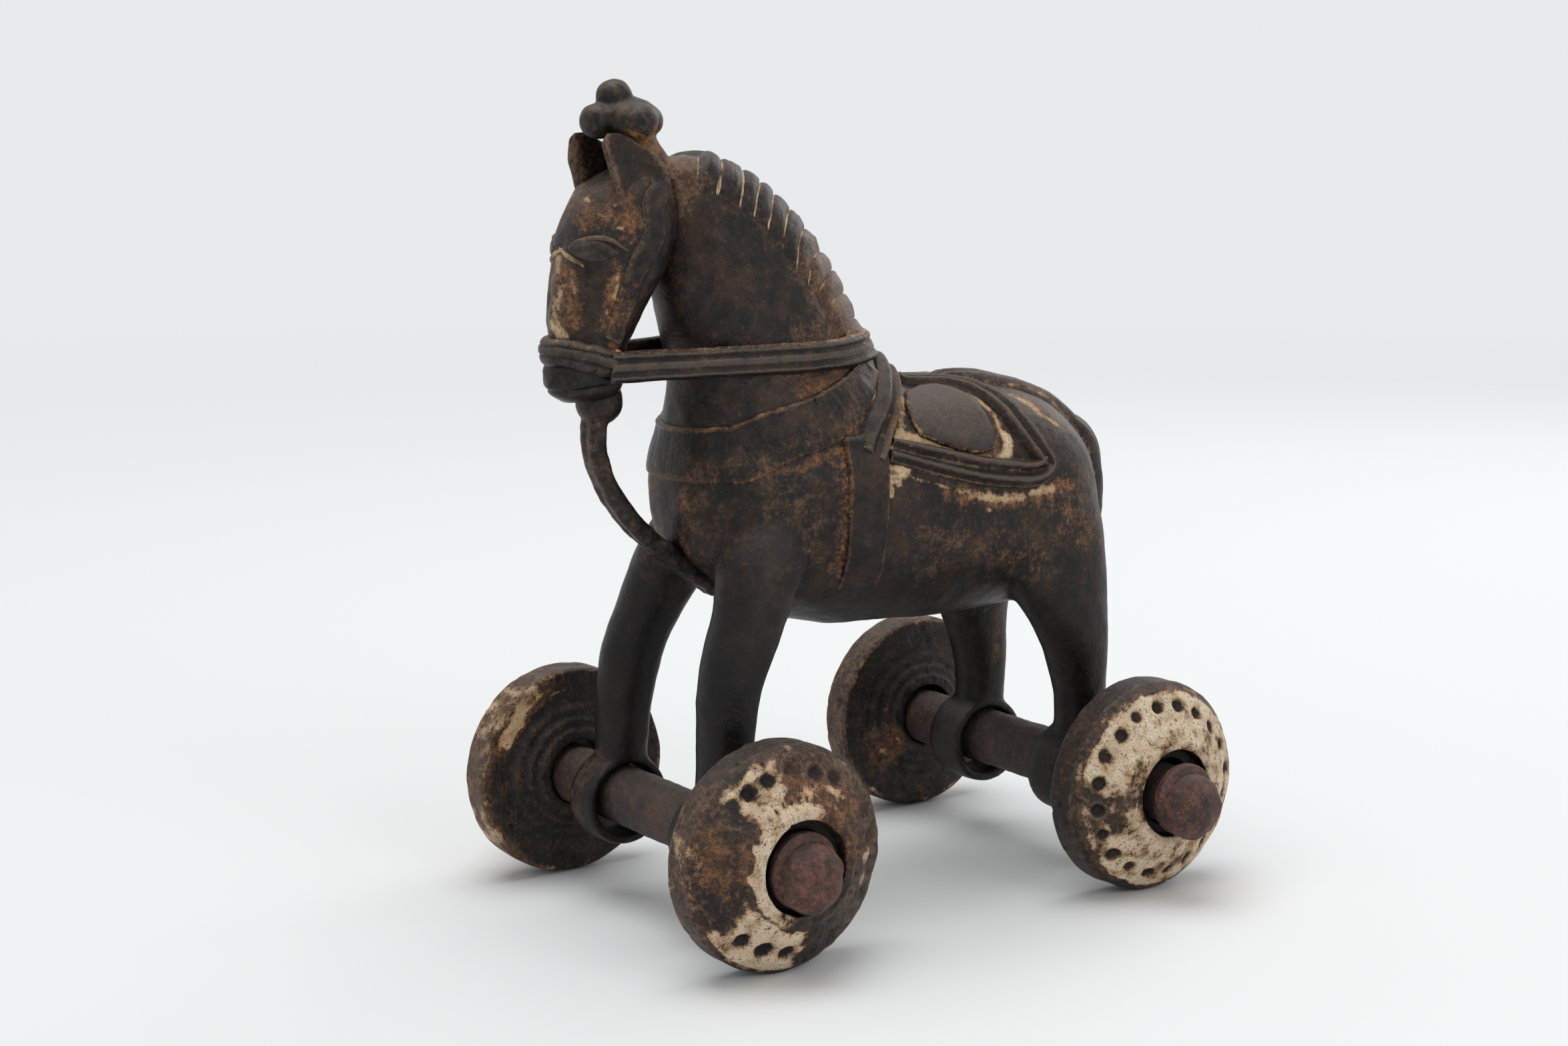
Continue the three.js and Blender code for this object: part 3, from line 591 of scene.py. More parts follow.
def rearLegStations(x, y, z):
    # as the front leg's
    return [
        [x, y + 0.8, z + 8.2, 5, 6],
        [x, y + 1.2, z + 12, 5, 5.8],
        [x, y + 0.8, z + 20, 5.4, 6.6],
        [x - 0.2, y - 1.4, z + 31, 6.2, 9],
        [x - 1.4, y - 4.4, z + 41, 7.2, 12.5],
        [x - 3.6, y - 6.4, z + 52, 8, 15],
        [x - 6, y - 6.4, z + 62, 8, 14]]


def eyeRing(side, end, size, count=96):
    # a ring about the axle's line: a rounded box section turned round it
    length = size["frontLength"] if end < 0 else size["rearLength"]
    spacing = size["frontSpacing"] if end < 0 else size["rearSpacing"]
    along, across = roundedRing(40, 3.4)
    radius = size["bore"] + size["wall"] / 2 + size["wall"] / 2 * across
    angle = circle(count)
    x = side * spacing / 2 + length / 2 * along[:, None] + 0 * angle
    y = end * halfWheelbase + radius[:, None] * np.cos(angle)
    z = size["eyeHeight"] + radius[:, None] * np.sin(angle)
    return closedRing(np.stack([x, y, z], -1))


def bodySkins():
    # the overlapping closed forms, before they are cast as one
    skins = [
        closedTube(ribGrid(trunkStations(**trunkSize), *loftSteps["trunk"])),
        closedTube(ribGrid(neckStations(**neckSize), *loftSteps["neck"], neckTaper))]
    for side in (-1, 1):
        front = frontLegStations(legSize["frontSpacing"] / 2, -halfWheelbase, legSize["eyeHeight"])
        rear = rearLegStations(legSize["rearSpacing"] / 2, halfWheelbase, legSize["eyeHeight"])
        skins += [closedTube(limbGrid(front, *loftSteps["frontLeg"], side)),
                  closedTube(limbGrid(rear, *loftSteps["rearLeg"], side))]
        skins += [eyeRing(side, -1, legSize), eyeRing(side, 1, legSize)]
    return together(*skins)


bodyPoints, bodyQuads, bodyEdges = recast(bodySkins(), bodyFinish["voxel"])
isLeg = eased(bodyPoints[:, 2], 30, 36)
bodyPoints = smoothed(bodyPoints, bodyEdges, bodyFinish["evenTurns"], 0.15 + 0.35 * isLeg[:, None])
legTops = [(side * x, y, z) for x, y, z in bodyFinish["legTops"] for side in (-1, 1)]
fillet = np.max([
    bell(np.linalg.norm(bodyPoints - spot, axis=1), 0, bodyFinish["filletReach"]) for spot in legTops], 0)
neckRoot = bell(bodyPoints[:, 2], bodyFinish["neckRoot"], bodyFinish["neckRootReach"])
neckRoot = neckRoot * eased(bodyPoints[:, 1], 10, -2)
fillet = np.maximum(fillet, neckRoot)[:, None]
bodyPoints = smoothed(bodyPoints, bodyEdges, bodyFinish["filletTurns"], 0.5 * fillet)
bodyNormals = skinNormals(bodyPoints, bodyQuads)
swell = sum(bodyFinish[kind + "Height"] * waves(bodyPoints, bodyFinish[kind + "Size"], seed)
            for kind, seed in (("wave", 3), ("ripple", 4), ("grain", 5)))
bodyPoints = bodyPoints + bodyNormals * (swell * (0.35 + 0.65 * isLeg) - bodyFinish["inset"])[:, None]
bodySkin = bodyPoints, bodyQuads, noTriangles
print("body cast:", len(bodyQuads), "faces")


# The head: one loft with the cheeks, lips and nostrils worked into it
faceRelief = {"nostril": (3.2, -74.8, 113.9), "nostrilDepth": 0.8, "mouthHeight": 111.6, "mouthDepth": 0.5,
              "cheekHollow": 0.6, "noseGroove": 0.35, "waveHeight": 0.3}


def headGrid():
    # the head's loft, pushed along its normals: cheek hollows, a mouth line, nostrils and an uneven skin
    grid = ribGrid(headStations(**headSize), *loftSteps["head"])
    normals = gridNormals(grid)
    if ((grid - grid.mean((0, 1))) * normals).sum() < 0:
        normals = -normals
    side = np.abs(grid[..., 0])
    y, z = grid[..., 1], grid[..., 2]
    relief, spot = faceRelief, faceRelief["nostril"]
    hole = np.exp(-((side - spot[0]) ** 2 + (y - spot[1]) ** 2 + (z - spot[2]) ** 2) / 1.0)
    mouth = bell(z, relief["mouthHeight"] + 0.12 * (y + 74), 0.5) * eased(y, -62, -66)
    hollow = bell(y, -66, 5) * bell(z, 128, 6) * eased(side, 4, 7)
    groove = bell(side, 2.6, 0.9) * eased(y, -68, -72) * bell(z, 130, 6)
    rise = relief["waveHeight"] * waves(grid, 6, 11) + 0.2 * waves(grid, 2.4, 12)
    rise = rise - relief["nostrilDepth"] * hole - relief["mouthDepth"] * mouth
    rise = rise - relief["cheekHollow"] * hollow - relief["noseGroove"] * groove
    return grid + normals * rise[..., None]


headSkin = closedTube(headGrid())

# What the raised bands are laid on: the body and the head as they now are
bed = placed("bed", meshOf("bed", together(bodySkin, headSkin)))


def laid(points, lift=0.0):
    # every point brought to the nearest place on the bed, or that far above it
    def wrap(thing):
        # each point goes to the bed's nearest place, outside it by the lift
        modifier = thing.modifiers.new("wrap", "SHRINKWRAP")
        modifier.target, modifier.wrap_method = bed, "NEAREST_SURFACEPOINT"
        modifier.wrap_mode, modifier.offset = "ABOVE_SURFACE", lift
    mesh = bpy.data.meshes.new("laid")
    mesh.vertices.add(points.size // 3)
    mesh.vertices.foreach_set("co", np.asarray(points, np.float32).ravel())
    return evaluated("laid", mesh, wrap)[0].reshape(points.shape)


def settled(marks):
    # the strokes' places brought down to the bed
    return [(laid(np.array(path, float)), reach, strength) for path, reach, strength in marks]


def evened(grid, turns):
    # inner rows and columns drawn towards their neighbours' mean, edges along themselves
    for _ in range(turns):
        grid = grid.copy()
        grid[1:-1] = 0.5 * grid[1:-1] + 0.25 * (grid[:-2] + grid[2:])
        grid[:, 1:-1] = 0.5 * grid[:, 1:-1] + 0.25 * (grid[:, :-2] + grid[:, 2:])
    return grid


def bedNormals(base, turns):
    # the way from a grid on the bed to the same grid laid 1 mm above it, evened
    return unit(evened(unit(laid(base, 1.0) - laid(base)), turns))


def raisedFrom(flat, height, evening=2, sink=0.7):
    # a grid laid on the bed and lifted along its normals, with its foot sunk under the skin
    base = evened(laid(flat), evening)
    normals = bedNormals(base, 3)
    return slab(base + normals * height[..., None], base - normals * sink), base


def laidBand(path, profile, along=160, across=28, evening=2):
    # a strip carried over the bed along x, y, z and half width, raised by profile(share along, place across)
    rows = spline(path, along)
    line = laid(rows[:, :3])
    up = evened(unit(laid(line, 1.0) - line)[:, None], 6)[:, 0]
    ahead = unit(np.gradient(line, axis=0))
    aside = unit(np.cross(up, ahead))
    v = np.sin(np.linspace(-np.pi / 2, np.pi / 2, across))
    flat = line[:, None] + rows[:, 3][:, None, None] * v[:, None] * aside[:, None]
    u = np.linspace(0, 1, along)[:, None] + 0 * v
    height = profile(u, v + 0 * u)
    shape, base = raisedFrom(flat, height, evening)
    return shape, height, base


def mirrored(path):
    # the same path on the right side, walked the other way, so its upper edge stays the upper one
    return [[-row[0], *row[1:]] for row in reversed(path)]


def overTheMiddle(path):
    # a left-side path that starts on the mid-plane, with its mirror image before it
    return mirrored(path)[:-1] + [list(row) for row in path]


def ridges(v, places, width):
    # rounded ribs at places across the band
    return sum(bell(v, place, width) for place in places)


def shoulder(v, power=6.0):
    # 1 over the band's middle, falling to 0 at its edges
    return np.sqrt(np.clip(1 - np.abs(v) ** power, 0, 1))


def addBand(name, paths, profile, marksOf, **options):
    # one piece from one or two laid strips; its stains come from the same two parameters
    skins, layers = [], {}
    for path, backwards in paths:
        turn = (lambda u: 1 - u) if backwards else (lambda u: u)
        shape, height, base = laidBand(path, lambda u, v: profile(turn(u), v), **options)
        rows, columns = height.shape
        v = np.sin(np.linspace(-np.pi / 2, np.pi / 2, columns)) + np.zeros((rows, 1))
        u = turn(np.linspace(0, 1, rows)[:, None]) + 0 * v
        skins.append(shape)
        for label, value in marksOf(u, v, base).items():
            layers.setdefault(label, []).append(value + 0 * u)
    addCast(name, together(*skins), {label: overTop(*values) for label, values in layers.items()})


# Stains of the body: where pale wash, rust and tan dirt still lie, as paths, reach and strength
washMarks = [
    ([(22.7, -5.9, 93.9), (24.1, -1.6, 93.6)], 1.2, 1), ([(22.9, -6, 92.4), (23.6, -3, 92.5)], 1.2, 1),
    ([(23.2, -6.4, 90.8), (23.4, -4.9, 90.8)], 1.1, 0.95),
    ([(24, -6.9, 89.6), (24.2, -7.2, 88.2)], 0.8, 0.85),
    ([(23.6, -1, 91.6), (24.2, 4.4, 89.8), (24.6, 9.2, 88), (23.8, 16.4, 86.4)], 0.6, 0.6),
    ([(23.8, 13.4, 86.3), (23.8, 22.6, 85), (23.7, 27.8, 85.1)], 1.5, 0.8),
    ([(23.9, 30, 85.5), (24, 35.6, 85.8)], 1.6, 0.85), ([(23.8, 8, 88.2), (23.8, 20, 85.6)], 1, 0.5),
    ([(21.9, 12.5, 96.8), (22.3, 17.5, 95.6), (21.7, 22.6, 95.2)], 0.9, 0.5),
    ([(22.8, 23.4, 94.2), (22.2, 25.4, 96.4), (21, 25.6, 99.6)], 2, 1),
    ([(22.4, 12, 95.6), (22.8, 18, 94.4), (22.8, 24, 94)], 1, 0.75),
    ([(20.9, 25.2, 99.6), (18.1, 24.6, 103.2), (13.8, 24, 106.2), (9.4, 21.6, 108.4)], 1.3, 0.7),
    ([(4.7, 20.6, 109.2), (6, 13.7, 109.2), (9.4, 7.4, 108.4)], 1, 0.5),
    ([(21.6, -3.6, 100.2), (20.6, 0.4, 100.6), (21, 4.6, 98.6), (21.8, 9.4, 97), (22.4, 15, 95.4)], 1.9,
      0.78),
    ([(12.6, 4.2, 107.4), (16.4, 1.4, 105), (19, -0.6, 102.4), (21.3, -4.2, 100)], 1.7, 0.66),
    ([(9, -4.4, 116.4), (14.5, -5.8, 111.3), (16.5, -6.5, 107.8)], 1.7, 0.62),
    ([(16.5, -7.5, 107.8), (19.6, -11.7, 104.2), (20.4, -14.6, 100.5)], 1.2, 0.5),
    ([(21.8, -6.2, 99.4), (22.7, -3.6, 98.4)], 1.2, 1), ([(19.8, -16.6, 99.6), (21, -12, 99.4)], 0.9, 0.55),
    ([(21.6, -17, 98.6), (22.4, -17.6, 91.9), (22.6, -17.9, 85.9), (22, -17.9, 78.4), (20.2, -17.6, 71)],
      0.55, 0.5),
    ([(21.8, -5.6, 99), (23.4, -7, 92.5), (24, -7.9, 86.5), (24, -8.2, 79)], 0.5, 0.6),
    ([(9.2, 34.6, 106), (12, 36.5, 104.4), (15.1, 39.3, 101.8), (16.3, 43, 99.1)], 1.7, 0.66),
    ([(23.2, 35.6, 97), (24.6, 37.2, 91)], 0.5, 0.5),
    ([(4.4, 38.6, 106.6), (4.4, 44.2, 105), (4.4, 50.7, 101.1)], 0.6, 0.5),
    # a pale stripe along the rump's edge beside the tail: worn edge and painted highlight
    ([(7.5, 56.5, 98), (8.6, 59, 93), (9.6, 59.8, 87), (10.4, 59.4, 80), (11.6, 57.4, 71)], 0.55, 0.66),
    ([(6, -47.5, 90.4), (5.4, -47.4, 83), (4.6, -46.7, 79)], 0.7, 0.4),
    ([(-8.5, -46.5, 84.5), (-9.5, -46, 81)], 0.8, 0.5), ([(23.9, 18, 83), (24, 18.6, 82.4)], 0.8, 0.7)]
washMarks += otherSide(washMarks[:24])    # the last few are on the chest, or on one side only
washMarks.append(([(-22.5, -54.4, 30), (-22.5, -56.6, 22), (-22.5, -55, 16), (-22, -50, 12.6)], 1.2, 0.5))
rustMarks = [
    ([(6, -47.5, 90.4), (5.9, -47.4, 85), (4.6, -46.7, 78)], 1.6, 0.75),
    ([(23.7, 34.4, 86), (23.4, 38, 86.2), (23.2, 42.2, 86.4)], 1.8, 0.85),
    ([(23.8, 8, 87.4), (23.8, 20, 84.6), (23.8, 36, 84.8)], 2.4, 0.8),
    ([(21.6, 4, 98), (22.5, 13, 95.8), (22.2, 24.4, 95.4)], 2.2, 0.7),
    ([(22, 25.6, 97), (18.4, 25, 103), (12, 23, 107)], 1.8, 0.6),
    ([(20, -20, 96), (21.6, -18.6, 86), (20.6, -19, 74)], 2.6, 0.5),
    ([(22, 36, 84), (21.5, 44, 78), (19.5, 50, 74)], 4.5, 0.42), ([(22.5, 22, 74), (22.5, 30, 70)], 4, 0.4),
    ([(18, -25.7, 110.2), (17.1, -20.6, 112), (16.2, -14.7, 113.6)], 1.5, 0.95),
    ([(16.9, -23.5, 108.6), (15.6, -12, 110.8), (18.4, -11.5, 106.6), (19.4, -15.4, 101.6)], 2, 0.6),
    ([(19.6, -33.8, 94.2), (20.8, -27.9, 95.9), (21.3, -22.4, 97.4), (21, -18.2, 98.6)], 1.1, 0.85),
    ([(21.6, -17.2, 98.6), (22.4, -17.8, 91.9), (22.6, -18.1, 85.9), (22, -18.1, 78.4), (20.2, -17.8, 71)],
      0.8, 0.75),
    ([(15.6, 1.6, 106), (18.6, -0.2, 103.4)], 1.8, 0.5), ([(9, 36, 106.5), (16.5, 43, 99.4)], 1.4, 0.6),
    ([(5, 52, 100.5), (9, 54, 97.5)], 1.8, 0.7), ([(12.5, -12.6, 123), (9.5, -5.5, 118.5)], 2.2, 0.55),
    ([(-20, -54.3, 31.2), (-20, -57.3, 24.3), (-20, -56.1, 18.3)], 3.2, 0.62),
    ([(-20, -56.1, 17), (-20, -50.4, 13), (-19, -45, 12.6)], 1.3, 0.72),
    ([(-13.5, 49, 40), (-13.2, 50.5, 52)], 1.2, 0.6), ([(20.5, -28, 78), (21, -24, 74)], 2.5, 0.35),
    ([(22.5, 2, 80), (22.5, 10, 76)], 3.5, 0.32), ([(22, 38, 78), (21.5, 46, 74)], 3, 0.35),
    ([(14, -44, 58), (15, -46, 50)], 2.6, 0.3)]
rustMarks += otherSide(rustMarks[:14])
tanMarks = [
    ([(-4, -46, 158), (3, -46, 158.5), (6.5, -47, 156.6), (9.3, -48.4, 153.1), (8.2, -50.2, 149.4)], 4.2,
      1.3),
    ([(11, -21.8, 136), (11.8, -17.7, 129.8), (12.2, -15.7, 126), (12.5, -13.6, 121.7)], 4.2, 0.8),
    ([(14.8, -25.1, 121.4), (12.5, -13.6, 121), (5, -3, 120)], 2.4, 0.9),
    ([(9.5, -39, 151), (11, -30, 145)], 5, 0.4), ([(8, -47, 86), (8, -44, 72)], 9, 0.5),
    ([(-6, -47, 88), (-8, -44, 74)], 7, 0.4), ([(20.5, -30, 89), (21, -22, 84)], 7, 0.35),
    ([(22, 6, 74), (22, 30, 72)], 9, 0.4), ([(19, 46, 84), (16, 53, 78)], 8, 0.5),
    ([(14, -8, 112), (19, -14, 102)], 3, 0.85),
    ([(8, 24, 109), (18, 25, 103), (22, 25, 96), (22, 12, 97), (20.5, 1, 100)], 2.2, 0.85),
    ([(8, 37, 106.6), (16.5, 43, 100)], 3.2, 0.7), ([(14.8, -25, 112), (15.8, -12, 113)], 2.6, 0.9),
    ([(-15, 46, 60), (-13.4, 50.5, 42)], 2.6, 0.6),
    ([(-20, -53, 32), (-20, -57.3, 24), (-20, -55, 16)], 4, 1.1)]
tanMarks += otherSide(tanMarks[:13])

addCast("horse_body", bodySkin,
        {"wash": strokes(bodyPoints, settled(washMarks)), "rust": strokes(bodyPoints, settled(rustMarks)),
         "tan": strokes(bodyPoints, settled(tanMarks)) - 0.3 * bell(bodyPoints[:, 2], 34, 16),
         "hollow": 1.05 * eased(bodyPoints[:, 2], 88, 56)    # painted shade: darker legs and belly, then a darker chest
         + 0.95 * eased(bodyPoints[:, 1], -32, -44) * eased(bodyPoints[:, 2], 112, 98)}, ["horse_casting"])

# Stains of the face
faceWash = [
    ([(-0.8, -72, 137.4), (1.5, -72.6, 133.4), (1, -73.4, 128.6), (0.8, -73.5, 124.7)], 2.1, 0.58),
    ([(-0.4, -73.6, 124.8), (2, -73.5, 123.4), (3.6, -73.1, 122.8)], 1.5, 0.85),
    ([(4.4, -71.9, 135), (5, -72.2, 131.2)], 1.2, 0.5),
    ([(4.6, -72.6, 127.6), (4.2, -72.9, 124.6)], 1.4, 0.45),
    ([(2.2, -67.1, 149.1), (3.4, -67, 148.4)], 0.8, 0.72),
    ([(7.3, -67.4, 146.4), (8.3, -66.7, 146.2)], 0.6, 0.6),
    ([(10.5, -64.3, 143.6), (10.9, -63.4, 143.3)], 0.7, 0.7),
    ([(9, -64.5, 148.3), (9.4, -64, 147.7)], 0.6, 0.6),
    ([(10.5, -64.6, 134.8), (10.2, -64.6, 133)], 1.1, 0.62),
    ([(10.3, -64.2, 131.6), (9.8, -64.8, 129.2)], 1.1, 0.62),
    ([(9.3, -66, 127.3), (9.1, -66.1, 126.8)], 0.6, 0.55)]
faceWash += otherSide(faceWash[2:])
faceRust = [
    ([(9.4, -62.8, 149.4), (10.6, -61.2, 147.6), (11, -60.6, 145.2)], 2.6, 1),
    ([(9.4, -63.6, 145.8), (10.6, -62.2, 142.6)], 2.2, 0.7),
    ([(3.6, -72.3, 135), (4.8, -72.3, 125)], 2.2, 0.75),
    ([(10.2, -64.8, 135.4), (9.4, -65.4, 125)], 1.9, 0.8),
    ([(9.2, -63.4, 121.6), (9.2, -63.4, 118.6)], 1.6, 0.85),
    ([(3.4, -69.5, 145.5), (8, -67.5, 144.5)], 2.6, 0.55), ([(3, -66, 152), (8, -62, 151)], 2.2, 0.6)]
faceRust += otherSide(faceRust)
faceTan = [
    ([(0, -68.6, 151), (3, -68.6, 147), (8, -65, 146)], 4.2, 0.75),
    ([(1, -72.5, 136), (2.4, -73.2, 124)], 2.6, 1), ([(5.2, -71.8, 134), (4.6, -72.8, 124)], 1.6, 0.9),
    ([(9.5, -64, 135), (9, -66, 125)], 2.2, 0.6), ([(6, -56, 154.5), (9, -52, 152)], 3, 0.8)]
faceTan += otherSide(faceTan)
addCast("horse_head", headSkin, {
    label: strokes(headSkin[0], settled(marks))
    for label, marks in (("wash", faceWash), ("rust", faceRust), ("tan", faceTan))})
print("body and head placed")


# The raised harness: each band's path runs over the left side as x, y, z and half width
harness = {
    "collar": [
        [0, -47.5, 97.6, 5.7], [9.5, -45.6, 98, 5.7], [14, -42.8, 98.5, 5.9], [16.6, -40.4, 99, 6],
        [19.2, -35.4, 100.6, 6], [20.4, -29.5, 102.4, 5.7], [20.9, -23.2, 104.2, 5.6],
        [20.1, -17.8, 106.2, 5.4], [17.5, -12.5, 109, 4.5], [11.4, -4.6, 113.8, 2.8]],
    "withers": [
        [0, 7.6, 117, 3.8], [7, 4.2, 114.6, 3.8], [12.4, 1.6, 111.4, 3.8], [15.8, -1.2, 107.6, 3.8],
        [18.4, -4.6, 104, 3.9], [20.4, -8, 100.8, 3.9], [21.8, -10.6, 97.4, 3.6]],
    "flap": [
        [20.2, -11.3, 101.2, 5.4], [21.8, -12.4, 93.2, 5], [22.4, -13, 86, 4.8], [22.3, -13.2, 80, 4.6],
        [20.6, -13, 73, 4.6], [18.4, -12.8, 68, 4.5]],
    "saddleBand": [
        [21.5, -5.6, 98.3, 2.9], [22.3, -1, 96.9, 3], [22.8, 3.2, 95.5, 3.1], [23.2, 11.6, 93, 3.2],
        [23.4, 20.2, 91.2, 3.2], [23.4, 28.4, 90.2, 3.1], [23.4, 32.6, 90.2, 2.9], [23.4, 35.2, 91.6, 2.8],
        [23.2, 34.9, 94.2, 2.9], [22.4, 33.2, 96.8, 3.2], [20.6, 31.2, 100.2, 3.5],
        [16.6, 29.6, 103.8, 3.6], [11.8, 27.4, 106.9, 3.5], [7.4, 24.2, 109, 3.2], [4.3, 19.4, 110.1, 2.9],
        [3.1, 13.6, 110.4, 2.7], [2.9, 8, 110.9, 2.5]],
    "crupper": [
        [0, 17, 110.4, 1.6], [0, 22, 110.2, 3], [0, 27, 109.8, 4], [0, 32, 109.2, 4.4], [0, 40, 107, 4.6],
        [0, 49, 102, 4.6], [0, 55.5, 96, 4.4], [0, 58.6, 92.6, 4.2]],
    "tail": [
        [0, 55.4, 97.6, 3.4], [0, 57.6, 94.8, 4.4], [0, 60, 89.5, 5], [0, 61.6, 82, 5.1],
        [0, 61.6, 75, 4.9], [0, 61, 69, 4.4], [0, 59.6, 64, 3.2]],
    "noseband": [
        [0, -75, 119.4, 2.9], [5.5, -73.8, 119.4, 2.9], [8.8, -70, 118.6, 2.9], [10.2, -66.6, 117.5, 2.9],
        [9.9, -62.5, 117, 2.9]],
    "bridle": [
        [8.6, -53.4, 154.6, 2.2], [9.8, -54.3, 151, 2.6], [10.3, -56, 148, 2.8], [11.2, -56, 143.5, 2.9],
        [11.6, -57, 140, 2.9], [11.5, -59, 136.5, 2.8], [10.8, -60.8, 132.5, 2.6], [10, -62.3, 127.5, 2.4],
        [9.5, -64, 121, 2.3]],
    "brow": [
        [2.7, -71.3, 139.7, 0.2], [4.9, -70.5, 141.1, 0.5], [8.6, -68.7, 141.9, 0.6],
        [10.2, -66.4, 141.5, 0.6], [11.9, -64.9, 140.6, 0.5], [11.3, -62.2, 139, 0.2]],
    "eye": [
        [3, -71.3, 139.6, 0.4], [5.2, -70.6, 139.5, 1.6], [7.6, -69, 139.4, 2.1], [9.6, -66.8, 139.1, 1.7],
        [11, -64.6, 138.6, 0.4]],
    "corner": [
        [-0.9, -71.3, 139.5, 0.2], [2.6, -71.7, 138.2, 0.5], [5.2, -71.2, 137.3, 0.5],
        [6.8, -70.5, 136.3, 0.2]]}
# How far each band stands proud
bandHeights = {"collar": 1.1, "withers": 2.0, "flap": 1.1, "saddleBand": 1.9, "crupper": 2.9, "tail": 6.6,
               "noseband": 2.0, "bridle": 0.75, "brow": 0.6, "eye": 0.8, "corner": 0.4}


def bothSides(key):
    # the left strip, and its mirror image walked backwards
    return [(harness[key], False), (mirrored(harness[key]), True)]


def acrossMiddle(key):
    # one strip from the right side over the middle to the left
    return [(overTheMiddle(harness[key]), False)]


def ribbed(key, ribs, floor=0.4):
    # ribs (place, width, share of the height) standing on a low bed, wandering a little
    def profile(u, v):
        # the highest rib at each place, over the floor's share, rounded off at the edges
        v = v + 0.05 * np.sin(17 * u + 3)
        crest = np.max([share * bell(v, place, width) for place, width, share in ribs], 0)
        return bandHeights[key] * shoulder(v, 7) * (floor + (1 - floor) * crest)
    return profile


def faded(profile, start):
    # the same profile, sunk to nothing over the first share of its length
    return lambda u, v: profile(u, v) * eased(u, 0, start)


def pillow(key):
    # a form that rises steeply from its whole outline
    def profile(u, v):
        # a low power of the distance from the edge, across and along
        return bandHeights[key] * np.clip(1 - v**2, 0, 1) ** 0.55 * np.clip(np.sin(np.pi * u), 0, 1) ** 0.4
    return profile


def collarProfile(u, v):
    # a broad band with a fine rib on its upper edge and short chisel strokes, deepest towards its ends
    chisel = waves(np.stack([u * 150, v * 0.9, 0 * u], -1), 1.0, 21)
    chisel = chisel * (0.5 + eased(np.abs(2 * u - 1), 0.3, 0.9))
    plain = 0.7 * shoulder(v, 8) + 0.35 * bell(v, 0.88, 0.08)
    return bandHeights["collar"] * plain + 0.12 * chisel * shoulder(v, 2)


def flapProfile(u, v):
    # a flat plate with a faint rim on its long edges, sinking into the belly at its foot
    plate = bandHeights["flap"] * shoulder(v, 14) * (1 - eased(u, 0.72, 1.0)) * eased(u, -0.02, 0.04)
    return plate + 0.16 * ridges(v, [-0.92, 0.92], 0.06) - 0.15 * eased(u, 0.9, 1.0)


def crupperProfile(u, v):
    # three ribs that grow from nothing and stand higher over the rump
    ribs = faded(ribbed("crupper", [(-0.55, 0.3, 0.8), (0.0, 0.26, 1.0), (0.55, 0.3, 0.8)], 0.45), 0.2)
    return ribs(u, v) * (0.85 + 0.9 * eased(u, 0.6, 1.0))


def tailProfile(u, v):
    # a half round that swells and runs out, with three fine ridges cut into it
    swell = bandHeights["tail"] * np.sqrt(np.clip(1 - v**2, 0, 1))
    return swell * (eased(u, -0.3, 0.35) * eased(u, 1.04, 0.62) - 0.05 * ridges(v, [-0.55, -0.1, 0.4], 0.09))


def nosebandProfile(u, v):
    # a full strap with two shallow grooves
    grooves = 0.12 * bell(v, 0.42, 0.09) + 0.12 * bell(v, -0.35, 0.09)
    return bandHeights["noseband"] * shoulder(v, 4) * (0.82 + 0.18 * bell(v, 0.1, 0.5) - grooves)


def patchy(base, size=7.0, seed=31):
    # a share of 0.8 that comes and goes over the surface
    return np.clip(0.8 + 0.4 * waves(base, size, seed), 0, 1.2)


# the collar is darkened towards its front with painted shade
addBand("harness_collar", acrossMiddle("collar"), collarProfile,
        lambda u, v, base: {"tan": 1.1 * bell(v, 0.9, 0.1) + 0.35 * bell(v, -0.5, 0.5),
                            "wash": 0.46 * bell(v, 0.93, 0.06), "rust": 0.75 * bell(v, -1, 0.3) * patchy(base),
                            "dust": -0.45, "hollow": 0.7 * eased(base[..., 1], -22, -40)},
        along=420, across=44)
addBand("harness_withers_strap", acrossMiddle("withers"),
        faded(ribbed("withers", [(-0.38, 0.42, 1.0), (0.66, 0.26, 0.8)], 0.3), 0.06),
        lambda u, v, base: {"wash": 0.62 * bell(v, 0.17, 0.1) * patchy(base), "tan": 0.9 * bell(v, 0.17, 0.16),
                            "rust": 0.7 * bell(v, 0.66, 0.3) * patchy(base, 5, 32)},
        along=300, across=44, evening=8)
addBand("harness_girth_flap", bothSides("flap"), flapProfile,
        lambda u, v, base: {"wash": 0.45 * bell(v, 0.97, 0.05) * patchy(base), "rust": 0.55 * bell(v, -1, 0.12),
                            "tan": 0.55 * bell(v, 0.93, 0.1) + 0.45 * bell(v, -0.93, 0.1)},
        along=150, across=48)
addBand("saddle_band", bothSides("saddleBand"),
        ribbed("saddleBand", [(0.56, 0.34, 1.0), (-0.42, 0.3, 0.9), (-0.93, 0.1, 0.5)], 0.22),
        lambda u, v, base: {
            "wash": (0.72 * bell(v, 0.08, 0.13) + 0.5 * bell(v, 1.0, 0.14) + 0.5 * bell(v, -0.93, 0.09))
            * patchy(base) * (0.6 + 0.4 * eased(u, 0.6, 0.45)),
            "rust": 0.5 * bell(v, 0.56, 0.3) * patchy(base, 6, 33) - 0.12,
            "tan": 0.6 * bell(v, 0.08, 0.22) + 0.8 * bell(v, -0.93, 0.16)}, along=420, across=44, evening=4)
addBand("harness_crupper", [(harness["crupper"], False)], crupperProfile,
        lambda u, v, base: {
            "wash": 0.45 * bell(np.abs(v), 0.27, 0.08) * patchy(base) + 0.5 * bell(np.abs(v), 0.95, 0.1),
            "tan": 0.9 * bell(np.abs(v), 1, 0.2)}, along=260, across=40)
